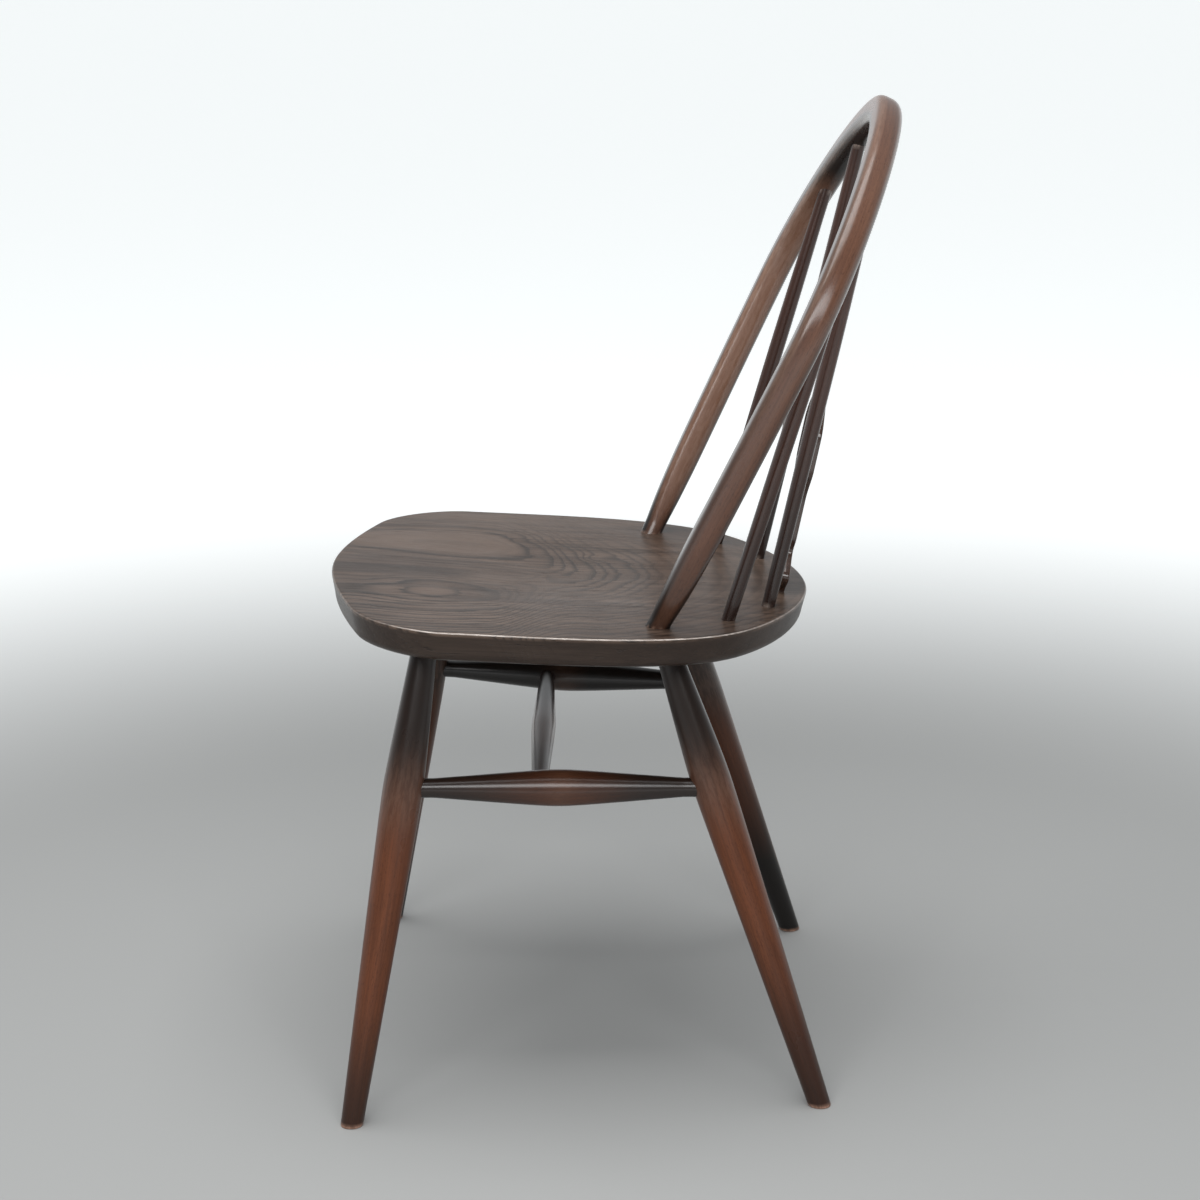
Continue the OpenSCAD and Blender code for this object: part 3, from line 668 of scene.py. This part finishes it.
def make_splat(seed):
    foot = on_seat(0, SPLAT_Y)
    rise = from_hoop(0.0, 0.0, HOOP_CROWN[1]) - foot
    lean = math.atan2(rise[1], rise[2])
    end = np.linalg.norm(rise) - HOOP_WOOD_W / 2 + SPLAT_TENONS[1]
    loops = [splat_outline(end)] + list(petal_outlines())
    flat, triangles = splat_faces(loops, end)
    points, faces, worn = [], [], []
    half = SPLAT_T / 2
    for level in (half, -half):
        base = len(points)
        points += [(p[0], level, p[1]) for p in flat]
        worn += [0.0] * len(flat)
        faces += [[base + i for i in t] for t in triangles]
    bends = np.linspace(0, np.pi / 2, SPLAT_BENDS)
    profile = [(SPLAT_ROUND * (1 - math.sin(b)), half - SPLAT_ROUND * (1 - math.cos(b)))
               for b in bends]
    profile += [(inset, -level) for inset, level in reversed(profile)]
    for loop in loops:
        base, n = len(points), len(loop)
        for inset, level in profile:
            points += [(p[0], level, p[1]) for p in grown_inward(loop, inset)]
            worn += [SPLAT_ROUND_WEAR if inset < SPLAT_ROUND else SPLAT_WALL_WEAR] * n
        for j in range(len(profile) - 1):
            for i in range(n):
                k = (i + 1) % n
                faces.append([base + j * n + i, base + j * n + k,
                              base + (j + 1) * n + k, base + (j + 1) * n + i])
    grain = np.array(points)
    world = tilted(foot, grain[:, 0], -grain[:, 1], grain[:, 2], lean)
    rings = ring_count(grain[:, 0], grain[:, 1], grain[:, 2], **SPLAT_RINGS)
    obj = make_piece("splat_pierced", ["splat"], "splat_wood", world, faces, grain, rings,
                     np.array(worn), SPLAT_TONE, seed)
    weld_splat(obj.data)
    return obj


# Seat: points along each part of its outline, and rings of points from top to underside
EDGE_STEPS = (30, 40, 46, 36)
RING_STEPS = {"dish": 60, "flat": 18, "top_edge": 9, "side": 8, "lower_edge": 11, "under": 14}
JOINT_GAP = 0.03
# Figure of the seat, in the right board's terms. The pith lies at PITH_X under the face and
# drifts across as it goes back. It drops away slowly in front of PITH_LEVEL, faster behind
# it and straight behind PITH_STEEP.
PITH_X, PITH_DEPTH = -88, 55
PITH_DRIFT, DRIFT_SPAN = 72, (130, 110)
PITH_LEVEL, PITH_STEEP = 105, 190
PITH_DROP = {"front": 0.0011, "behind": 0.004, "steep": 0.72}
FIRST_RING, RING_STEP, RING_PHASE = 71, 8.8, 0.7
HEART, HEART_LIGHT = (64, 6), 0.7
RING_UNEVEN, UNEVEN_PACE = 0.2, 2.1
# Oval in front of the left board: its middle, the depth of its heart, how much that sinks
# towards both ends and over which length. FOLLOW is where the board starts to follow the
# right one and over how much.
OVAL_X, OVAL_Y = 82, 90
OVAL_DEPTH, OVAL_SINK, OVAL_REACH = 36.5, 13, 66
OVAL_FIRST, OVAL_STEP = 41, 7.4
OVAL_HEART, OVAL_LIGHT = (38, 3), 0.6
FOLLOW = (140, 80)
OVAL_RIM, OUTER_SIDE = (100, 35), (60, 50)
# Stretches with a figure of their own: middle, reach across and back, and power
STRETCHES = {"arcs": ((-14, 232), (80, 46), 4), "arch": ((-84, 100), (58, 95), 4),
             "wave": ((-62, 226), (10, 17), 2), "oval": ((82, 66), (40, 75), 4)}
STRENGTH = {"all": 0.3, "arcs": 0.42, "arch": 0.55, "oval": 0.65, "rim": 0.5, "outer": 0.3}
WAVE_RINGS = 1.1
# Seat's looks: the worn share of the top edge's rounding, partly wear and partly a painted highlight
# along the arris, less in front and at the back
ARRIS_WEAR_AND_HIGHLIGHT, ARRIS_SPAN = 0.9, (0.16, 0.46)
FRONT_WEAR_AND_HIGHLIGHT, FRONT_SPAN = 0.2, (40, 70)
BACK_LESS, BACK_SPAN = 0.6, (300, 80)
# The rim is darkened as painted shade, and its figure is made plainer.
EDGE_SHADE, EDGE_PLAIN = 0.72, 0.85
DEPTH_RINGS = 0.04
# Dark patch in front of the left board, beside the joint
PATCH_TONE, PATCH_ACROSS, PATCH_BACK = 0.55, (24, 14), (95, 50)


def seat_edge():
    """Points of the seat's outline on the +X side, and the outward direction at each."""
    points, outward = [], []
    for k, steps in enumerate(EDGE_STEPS):
        (a, a_turn), (b, b_turn) = SEAT_TURNS[k], SEAT_TURNS[k + 1]
        a, b = np.array(a, float), np.array(b, float)
        pull = SEAT_PULL * np.linalg.norm(b - a)
        p = a + pull * np.array([math.cos(math.radians(a_turn)), math.sin(math.radians(a_turn))])
        q = b - pull * np.array([math.cos(math.radians(b_turn)), math.sin(math.radians(b_turn))])
        last = k == len(EDGE_STEPS) - 1
        for t in np.linspace(0, 1, steps + last, endpoint=last):
            points.append(bezier(a, p, q, b, t))
            flow = (p - a) * (1 - t) ** 2 + 2 * (q - p) * t * (1 - t) + (b - q) * t ** 2
            outward.append(unit(np.array([flow[1], -flow[0]])))
    return np.array(points), np.array(outward)


def seat_rings():
    """Rings from the top's middle over the edge to the underside: share, inset and depth."""
    side_h = SEAT_T - SEAT_TOP_R - SEAT_UNDER_R
    dish = np.linspace(0, 1, RING_STEPS["dish"])[1:]
    rings = [(DISH_REACH * t, SEAT_TOP_R, DISH_DEPTH * (1 - ease(t))) for t in dish]
    rings += [(t, SEAT_TOP_R, 0) for t in np.linspace(DISH_REACH, 1, RING_STEPS["flat"])[1:-1]]
    for turn in np.linspace(0, np.pi / 2, RING_STEPS["top_edge"]):
        rings.append((1, SEAT_TOP_R * (1 - math.sin(turn)), SEAT_TOP_R * (1 - math.cos(turn))))
    for t in np.linspace(0, 1, RING_STEPS["side"])[1:-1]:
        rings.append((1, SEAT_UNDERCUT * t, SEAT_TOP_R + side_h * t))
    for turn in np.linspace(0, np.pi / 2, RING_STEPS["lower_edge"]):
        rings.append((1, SEAT_UNDERCUT + SEAT_UNDER_R * (1 - math.cos(turn)),
                      SEAT_T - SEAT_UNDER_R * (1 - math.sin(turn))))
    under = np.linspace(1, 0, RING_STEPS["under"])[1:-1]
    rings += [(t, SEAT_UNDERCUT + SEAT_UNDER_R, SEAT_T) for t in under]
    return rings


def seat_figure(x, y, side):
    """Year rings on the seat's face, x across and y back from the front edge.

    Gives the count of rings, how light the wood is, and how strongly the rings show. The
    rings lie round a pith under the board, so they close in a pointed arch where the pith
    drops away. The left board has an oval of its own in front and then follows the right.
    """
    behind = np.clip(y, PITH_LEVEL, PITH_STEEP) - PITH_LEVEL
    steep = PITH_DROP["steep"] * np.maximum(y - PITH_STEEP, 0)
    drop = np.where(y > PITH_LEVEL, PITH_DROP["behind"] * behind ** 2 + steep,
                    PITH_DROP["front"] * (PITH_LEVEL - y) ** 2)
    pith_x = PITH_X + PITH_DRIFT * ramp(y, *DRIFT_SPAN)
    from_pith = np.hypot(x - pith_x, PITH_DEPTH + drop)
    count = (from_pith - FIRST_RING) / RING_STEP + RING_PHASE
    light = HEART_LIGHT * (1 - ramp(from_pith, *HEART))
    near = {key: spot(x, y, *values) for key, values in STRETCHES.items()}
    strong = STRENGTH["all"] + STRENGTH["arcs"] * near["arcs"] + STRENGTH["arch"] * near["arch"]
    if side < 0:
        count = count + WAVE_RINGS * near["wave"]
    else:
        depth = OVAL_DEPTH + OVAL_SINK * ease(np.abs(y - OVAL_Y) / OVAL_REACH)
        to_oval = np.hypot(x - OVAL_X, depth)
        own = (to_oval - OVAL_FIRST) / OVAL_STEP + RING_PHASE
        own_light = OVAL_LIGHT * (1 - ramp(to_oval, *OVAL_HEART))
        own_strong = (STRENGTH["all"] + STRENGTH["oval"] * near["oval"]
                      + STRENGTH["rim"] * ramp(x, *OVAL_RIM))
        follow = ramp(y, *FOLLOW)
        count = own * (1 - follow) + count * follow
        light = light * follow + own_light * (1 - follow)
        strong = (strong + STRENGTH["outer"] * ramp(x, *OUTER_SIDE)) * follow
        strong = strong + own_strong * (1 - follow)
    return count + RING_UNEVEN * np.sin(UNEVEN_PACE * count), light, strong


def make_board(side, seed):
    edge, outward = seat_edge()
    rings = seat_rings()
    middle = np.array([0.0, MIDDLE_SHARE * SEAT_D])
    n = len(edge)
    rows = []
    for share, inset, depth in rings:
        p = middle + share * (edge - inset * outward - middle)
        rows.append(np.stack([p[:, 0], p[:, 1], np.full(n, -depth)], 1))
    local = np.concatenate(rows + [[[0, middle[1], -DISH_DEPTH], [0, middle[1], -SEAT_T]]])
    local[:, 0] = side * np.maximum(local[:, 0], JOINT_GAP)
    top, under = len(local) - 2, len(local) - 1
    outer = len(rings) - 1
    faces = [[j * n + i, j * n + i + 1, (j + 1) * n + i + 1, (j + 1) * n + i]
             for j in range(outer) for i in range(n - 1)]
    faces += [[top, i + 1, i] for i in range(n - 1)]
    faces += [[under, outer * n + i, outer * n + i + 1] for i in range(n - 1)]
    faces.append([top] + [j * n for j in range(outer + 1)]
                 + [under] + [j * n + n - 1 for j in range(outer, -1, -1)])
    world = tilted(on_seat(0, 0), local[:, 0], local[:, 1], local[:, 2], SEAT_SLOPE)
    grain = local[:, [0, 2, 1]]
    x, y, z = local.T
    count, light, strong = seat_figure(side * np.abs(x), y, side)
    count = count + DEPTH_RINGS * z
    from_turn, to_turn = ARRIS_SPAN
    # The top edge's rounding is made pale, partly as wear and partly as a painted highlight.
    ring_wear_and_highlight = [ARRIS_WEAR_AND_HIGHLIGHT if share == 1 and from_turn < depth / SEAT_TOP_R < to_turn else 0.0
                 for share, _, depth in rings]
    wear_and_painted_light = np.concatenate([np.repeat(ring_wear_and_highlight, n), [0, 0]])
    wear_and_painted_light = wear_and_painted_light * (FRONT_WEAR_AND_HIGHLIGHT + (1 - FRONT_WEAR_AND_HIGHLIGHT) * ramp(y, *FRONT_SPAN))
    wear_and_painted_light = wear_and_painted_light * (1 - BACK_LESS * ramp(y, *BACK_SPAN))
    edge_rows = [1.0 if share == 1 and depth >= SEAT_TOP_R else 0.0 for share, _, depth in rings]
    on_edge = np.concatenate([np.repeat(edge_rows, n), [0, 1]])
    # Painted shade darkens the rim; elsewhere the face is paler where the heart of the rings is
    # light.
    tone = EDGE_SHADE * on_edge - light * (1 - on_edge)
    if side > 0:
        patch = (1 - ramp(x, *PATCH_ACROSS)) * (1 - ramp(y, *PATCH_BACK))
        tone = tone + PATCH_TONE * (1 - on_edge) * patch
    name = "seat_board_%s" % ("left" if side > 0 else "right")
    return make_piece(name + "_shaped", [name], "seat_wood", world, faces, grain, count, wear_and_painted_light, tone,
                      seed, strong * (1 - EDGE_PLAIN * on_edge))


# Materials
def add_node(tree, kind, inputs=None, **settings):
    made = tree.nodes.new(kind)
    for key, value in settings.items():
        setattr(made, key, value)
    for key, value in (inputs or {}).items():
        if isinstance(value, bpy.types.NodeSocket):
            tree.links.new(value, made.inputs[key])
        else:
            made.inputs[key].default_value = value
    return made


def soft_range(tree, value, low, high, first=0.0, last=1.0):
    """A soft step of the value, from first at low to last at high."""
    return add_node(tree, "ShaderNodeMapRange", {0: value, 1: low, 2: high, 3: first, 4: last},
                    interpolation_type="SMOOTHSTEP").outputs[0]


def mixed(tree, share, a, b):
    return add_node(tree, "ShaderNodeMix", {0: share, 6: a, 7: b}, data_type="RGBA").outputs[2]


# Noises of the wood: cells per metre across, through and along it, detail and roughness
NOISES = {
    "wobble": ((26, 26, 5), 4.0, 0.55),
    "shiver": ((210, 210, 14), 2.0, 0.55),
    "fibre": ((700, 700, 22), 4.0, 0.6),
    "pore": ((640, 640, 28), 3.0, 0.6),
    "speck": ((1300, 1300, 260), 2.0, 0.5),
    "blotch": ((14, 14, 5), 3.0, 0.55),
    "stripe": ((75, 75, 4), 4.0, 0.6),
    "broad_vein": ((180, 180, 6), 4.0, 0.6),
    "fine_vein": ((420, 420, 16), 4.0, 0.6),
    "chip": ((330, 330, 60), 4.0, 0.7),
    "haze": ((40, 40, 24), 3.0, 0.55),
}
# Where each layer starts and is full: on a ring, which goes from 0 to 1, or on its noise
SPANS = {
    "late": (0.4, 0.9),
    "late_end": (0.92, 1.0),
    "early": (0.05, 0.4),
    "fibre": (0.35, 0.75),
    "pore": (0.56, 0.68),
    "speck": (0.54, 0.7),
    "stain_and_painted_light": (-0.2, 0.45),
    "light": (0.36, 0.64),
    "broad_vein": (0.52, 0.68),
    "fine_vein": (0.52, 0.64),
    "chip": (0.4, 0.6),
}
WOBBLE, SHIVER = 2.0, 0.6
PORES_EARLY, PORES_ALL = 0.75, 0.25
BROAD_VEINS, FINE_VEINS = 0.7, 0.6
VEINS_FIGURE, VEINS_PLAIN = 2.0, 0.1
FIBRE_DEEP = 0.3
CHIPS = 0.5
FIBRE_HEIGHT, LATE_HEIGHT, RELIEF = 0.35, 0.25, 0.0003
HAZE, PORE_DULL = 0.14, 0.12
WOOD_IOR, COAT_IOR = 1.5, 1.7


def wood(name, colours, rings, warp, veins, pores, fleck, rough, specular, coat, coat_rough, bump):
    """Stained wood under lacquer, from the marks grain, rings, figure, wear and tone."""
    deep, mid, light, bare_and_painted_light, dark = ((*colour, 1) for colour in colours)
    material = bpy.data.materials.new(name)
    material.use_nodes = True
    tree = material.node_tree
    tree.nodes.clear()

    def mark(key, output="Fac"):
        return add_node(tree, "ShaderNodeAttribute", attribute_name=key).outputs[output]

    def sums(operation, a, b, clamp=False):
        return add_node(tree, "ShaderNodeMath", {0: a, 1: b}, operation=operation,
                        use_clamp=clamp).outputs[0]

    def times(a, b, clamp=False):
        return sums("MULTIPLY", a, b, clamp)

    def plus(a, b, clamp=False):
        return sums("ADD", a, b, clamp)

    def noise(key):
        stretch, detail, roughness = NOISES[key]
        scaled = add_node(tree, "ShaderNodeVectorMath", {0: grain, 1: stretch}, operation="MULTIPLY")
        return add_node(tree, "ShaderNodeTexNoise", {
            "Vector": scaled.outputs[0], "Scale": 1.0, "Detail": detail,
            "Roughness": roughness}).outputs[0]

    def window(value, key):
        return soft_range(tree, value, *SPANS[key])

    def layer(share, under, over):
        return mixed(tree, share, under, over)

    grain = mark("grain", "Vector")
    fibre, blotch = noise("fibre"), noise("blotch")

    # Year rings: each is pale early and dark late, and the noises shift it a little
    wobble = times(sums("SUBTRACT", noise("wobble"), 0.5), WOBBLE * warp)
    shiver = times(sums("SUBTRACT", noise("shiver"), 0.5), SHIVER * warp)
    band = sums("FRACT", plus(plus(mark("rings"), wobble), shiver), 0.0)
    late = times(window(band, "late"), sums("SUBTRACT", 1.0, window(band, "late_end")))
    late = times(late, mark("figure"))
    early = sums("SUBTRACT", 1.0, window(band, "early"))

    # Veins show where the rings do, and pores most in the early wood
    vein = plus(times(window(noise("broad_vein"), "broad_vein"), BROAD_VEINS),
                times(window(noise("fine_vein"), "fine_vein"), FINE_VEINS), True)
    vein = times(vein, plus(times(mark("figure"), VEINS_FIGURE), VEINS_PLAIN, True))
    pore = times(window(noise("pore"), "pore"), plus(times(early, PORES_EARLY), PORES_ALL))

    # The wood, from mid and light patches through its layers to the pores
    patches = plus(times(blotch, 0.5), times(noise("stripe"), 0.5))
    base = layer(window(patches, "light"), mid, light)
    base = layer(times(vein, veins), base, deep)
    base = layer(times(late, rings), base, deep)
    base = layer(times(window(fibre, "fibre"), FIBRE_DEEP), base, deep)
    base = layer(times(window(noise("speck"), "speck"), fleck), base, deep)
    base = layer(times(pore, pores), base, dark)

    # Stain and painted shade over it, which lightens below 0 as painted light, and bare wood where
    # the lacquer is chipped, with highlights and lit faces painted pale in the same colour
    stain_and_painted_light = mark("tone")
    base = layer(times(stain_and_painted_light, window(blotch, "stain_and_painted_light"), True), base, dark)
    base = layer(times(stain_and_painted_light, -1.0, True), base, light)
    chips = plus(times(window(noise("chip"), "chip"), CHIPS), 1 - CHIPS)
    base = layer(times(mark("wear_and_painted_light"), chips, True), base, bare_and_painted_light)

    # Relief of the fibres, the pores and the late rings, and a haze on the gloss
    height = sums("SUBTRACT", times(fibre, FIBRE_HEIGHT), pore)
    height = plus(height, times(late, LATE_HEIGHT))
    relief = add_node(tree, "ShaderNodeBump", {
        "Strength": bump, "Distance": RELIEF, "Height": height})
    dull = plus(times(noise("haze"), HAZE), rough - HAZE / 2)
    dull = plus(dull, times(pore, PORE_DULL * pores))
    shader = add_node(tree, "ShaderNodeBsdfPrincipled", {
        "Base Color": base, "Roughness": dull, "IOR": WOOD_IOR, "Specular IOR Level": specular,
        "Coat Weight": coat, "Coat Roughness": coat_rough, "Coat IOR": COAT_IOR,
        "Normal": relief.outputs[0]})
    out = add_node(tree, "ShaderNodeOutputMaterial")
    tree.links.new(shader.outputs[0], out.inputs[0])
    return material


# Colours of each wood: deep in the late rings, mid, light, bare where worn and where highlights and
# lit faces are painted pale, and darkest
woods = {
    "seat_wood": wood(
        "seat_elm",
        ((0.011, 0.007, 0.005), (0.070, 0.044, 0.031), (0.142, 0.096, 0.071), (0.66, 0.59, 0.54),
         (0.012, 0.007, 0.005)),
        rings=1.0, warp=0.9, veins=0.8, pores=0.8, fleck=0.1,
        rough=0.34, specular=0.32, coat=0.0, coat_rough=0.1, bump=0.8),
    "hoop_wood": wood(
        "hoop_beech",
        ((0.042, 0.018, 0.011), (0.118, 0.050, 0.029), (0.170, 0.078, 0.046), (0.30, 0.19, 0.14),
         (0.009, 0.006, 0.005)),
        rings=0.1, warp=0.5, veins=0.25, pores=0.3, fleck=0.5,
        rough=0.28, specular=0.25, coat=0.42, coat_rough=0.21, bump=0.1),
    "splat_wood": wood(
        "splat_beech",
        ((0.014, 0.007, 0.005), (0.035, 0.016, 0.011), (0.050, 0.023, 0.015), (0.12, 0.06, 0.04),
         (0.006, 0.004, 0.003)),
        rings=0.3, warp=0.5, veins=0.2, pores=0.3, fleck=0.3,
        rough=0.26, specular=0.35, coat=0.5, coat_rough=0.08, bump=0.1),
    "spindle_wood": wood(
        "spindle_beech",
        ((0.020, 0.009, 0.006), (0.056, 0.024, 0.017), (0.080, 0.036, 0.026), (0.50, 0.40, 0.34),
         (0.010, 0.007, 0.006)),
        rings=0.12, warp=0.5, veins=0.25, pores=0.3, fleck=0.4,
        rough=0.26, specular=0.2, coat=0.36, coat_rough=0.18, bump=0.08),
    "leg_wood": wood(
        "leg_beech",
        ((0.042, 0.013, 0.005), (0.118, 0.035, 0.013), (0.168, 0.052, 0.020), (0.42, 0.24, 0.17),
         (0.010, 0.008, 0.007)),
        rings=0.15, warp=0.5, veins=0.3, pores=0.3, fleck=0.4,
        rough=0.3, specular=0.22, coat=0.14, coat_rough=0.25, bump=0.08),
    "stretcher_wood": wood(
        "stretcher_beech",
        ((0.030, 0.010, 0.005), (0.085, 0.028, 0.012), (0.115, 0.038, 0.017), (0.30, 0.16, 0.10),
         (0.009, 0.007, 0.006)),
        rings=0.15, warp=0.5, veins=0.3, pores=0.3, fleck=0.4,
        rough=0.3, specular=0.2, coat=0.42, coat_rough=0.22, bump=0.03),
}

# Seeds: each kind's number, and what it moves by for its side and for its second place
SPINDLE_SEEDS = (1.0, 0.37, 0.2)
LEG_SEEDS = (2.0, 0.41, 0.3)
SIDE_SEEDS = (3.0, 0.23, 0.0)
BOARD_SEED, CROSS_SEED, HOOP_SEED, SPLAT_SEED = 0.0, 4.0, 5.0, 6.0


def seed_for(seeds, side, second=False):
    number, by_side, by_place = seeds
    return number + by_side * side + (by_place if second else 0.0)


for side in (1, -1):
    make_board(side, BOARD_SEED)
    for kind in ("outer", "inner"):
        make_spindle(kind, side, seed_for(SPINDLE_SEEDS, side, kind == "inner"))
    for end in ("front", "rear"):
        make_leg(end, side, seed_for(LEG_SEEDS, side, end == "rear"))
    make_bar("side_stretcher_%s" % ("left" if side > 0 else "right"), side_end("front", side),
             side_end("rear", side), SIDE_PAST, SIDE_STRAIGHT, SIDE_D, side,
             seed_for(SIDE_SEEDS, side))
make_bar("cross_stretcher", cross_end(-1), cross_end(1), CROSS_PAST, CROSS_STRAIGHT, CROSS_D,
         0, CROSS_SEED)
make_hoop(HOOP_SEED)
make_splat(SPLAT_SEED)


# Floor, grey under the chair and white far away, brightest behind it as the wall. FAR is in
# metres from the middle, and BEHIND is the share of the direction that points across.
FLOOR_HALF = 30.0
FLOOR_ROUGH = 0.75
FAR = (0.75, 2.3)
BEHIND = (0.2, -0.75)
FLOOR_GREY = (0.40, 0.405, 0.40, 1)
FLOOR_WHITE = (0.85, 0.86, 0.86, 1)
GLOW = (0.60, 0.625, 0.625, 1)
GLOW_AROUND = (0.34, 0.35, 0.35, 1)
NO_GLOW = (0, 0, 0, 1)


def make_floor():
    corners = [(-1, -1), (1, -1), (1, 1), (-1, 1)]
    mesh = bpy.data.meshes.new("floor")
    mesh.from_pydata([(x * FLOOR_HALF, y * FLOOR_HALF, 0) for x, y in corners], [], [(0, 1, 2, 3)])
    material = bpy.data.materials.new("floor_matt")
    material.use_nodes = True
    tree = material.node_tree
    place = add_node(tree, "ShaderNodeTexCoord").outputs["Object"]
    away = add_node(tree, "ShaderNodeVectorMath", {0: place}, operation="NORMALIZE").outputs["Vector"]
    across = add_node(tree, "ShaderNodeSeparateXYZ", {0: away}).outputs["X"]
    length = add_node(tree, "ShaderNodeVectorMath", {0: place}, operation="LENGTH").outputs["Value"]
    behind, far = soft_range(tree, across, *BEHIND), soft_range(tree, length, *FAR)
    glow = mixed(tree, behind, GLOW_AROUND, GLOW)
    shader = tree.nodes["Principled BSDF"]
    tree.links.new(mixed(tree, far, FLOOR_GREY, FLOOR_WHITE), shader.inputs["Base Color"])
    tree.links.new(mixed(tree, far, NO_GLOW, glow), shader.inputs["Emission Color"])
    shader.inputs["Emission Strength"].default_value = 1.0
    shader.inputs["Roughness"].default_value = FLOOR_ROUGH
    mesh.materials.append(material)
    obj = bpy.data.objects.new("floor", mesh)
    bpy.context.scene.collection.objects.link(obj)


make_floor()

# Softboxes: place, the point they face, size and power
SOFTBOXES = {"overhead": ((0.2, -0.2, 2.6), (0, 0, 0.4), (2.0, 1.6), 40),
             "side": ((2.4, -0.1, 1.75), (0, 0, 0.35), (2.6, 0.8), 44)}
# Surroundings, dimmer overhead and on the camera's side: from which share of the direction
# to which, and the strength at both
ROOM_COLOUR = (0.95, 0.98, 1.0, 1)
ROOM_UP = (0.03, 0.24, 1.0, 0.46)
ROOM_SIDE = (-0.3, 0.6, 1.0, 0.42)


def add_softbox(name, place, target, size, power):
    data = bpy.data.lights.new(name, "AREA")
    data.shape = "RECTANGLE"
    data.size, data.size_y = size
    data.energy = power
    obj = bpy.data.objects.new(name, data)
    bpy.context.scene.collection.objects.link(obj)
    obj.location = place
    obj.rotation_mode = "QUATERNION"
    forward = (Vector(target) - Vector(place)).normalized()
    across = Vector((0, 1, 0))
    above = across.cross(forward).normalized()
    across = forward.cross(above)
    obj.rotation_quaternion = Matrix((across, above, -forward)).transposed().to_quaternion()


def make_room():
    world = bpy.data.worlds.new("studio")
    bpy.context.scene.world = world
    world.use_nodes = True
    tree = world.node_tree
    aim = add_node(tree, "ShaderNodeTexCoord").outputs["Generated"]
    parts = add_node(tree, "ShaderNodeSeparateXYZ", {0: aim}).outputs
    upward = soft_range(tree, parts["Z"], *ROOM_UP)
    sideways = soft_range(tree, parts["X"], *ROOM_SIDE)
    strength = add_node(tree, "ShaderNodeMath", {0: upward, 1: sideways}, operation="MULTIPLY")
    background = tree.nodes["Background"]
    tree.links.new(strength.outputs[0], background.inputs["Strength"])
    background.inputs["Color"].default_value = ROOM_COLOUR


for name, values in SOFTBOXES.items():
    add_softbox(name, *values)
make_room()

# Camera, where the photograph was taken from: yaw, pitch and roll in degrees
CAMERA_AT = (2.3496, -0.00224, 1.0177)
CAMERA_TURNS = (-0.195, 15.071, 0.295)
CAMERA_LENS, CAMERA_SENSOR = 83.978, 36.0


def add_camera():
    yaw, pitch, roll = (math.radians(v) for v in CAMERA_TURNS)
    level = math.cos(pitch)
    forward = Vector((-math.cos(yaw) * level, math.sin(yaw) * level, -math.sin(pitch)))
    right = forward.cross(Vector((0, 0, 1))).normalized()
    down = forward.cross(right)
    c, s = math.cos(roll), math.sin(roll)
    right, down = c * right + s * down, c * down - s * right
    data = bpy.data.cameras.new("camera")
    data.sensor_width = CAMERA_SENSOR
    data.lens = CAMERA_LENS
    obj = bpy.data.objects.new("camera", data)
    bpy.context.scene.collection.objects.link(obj)
    turn = Matrix((right, -down, -forward)).transposed()
    obj.matrix_world = Matrix.Translation(CAMERA_AT) @ turn.to_4x4()
    bpy.context.scene.camera = obj


add_camera()
bpy.context.scene.view_settings.view_transform = "Standard"
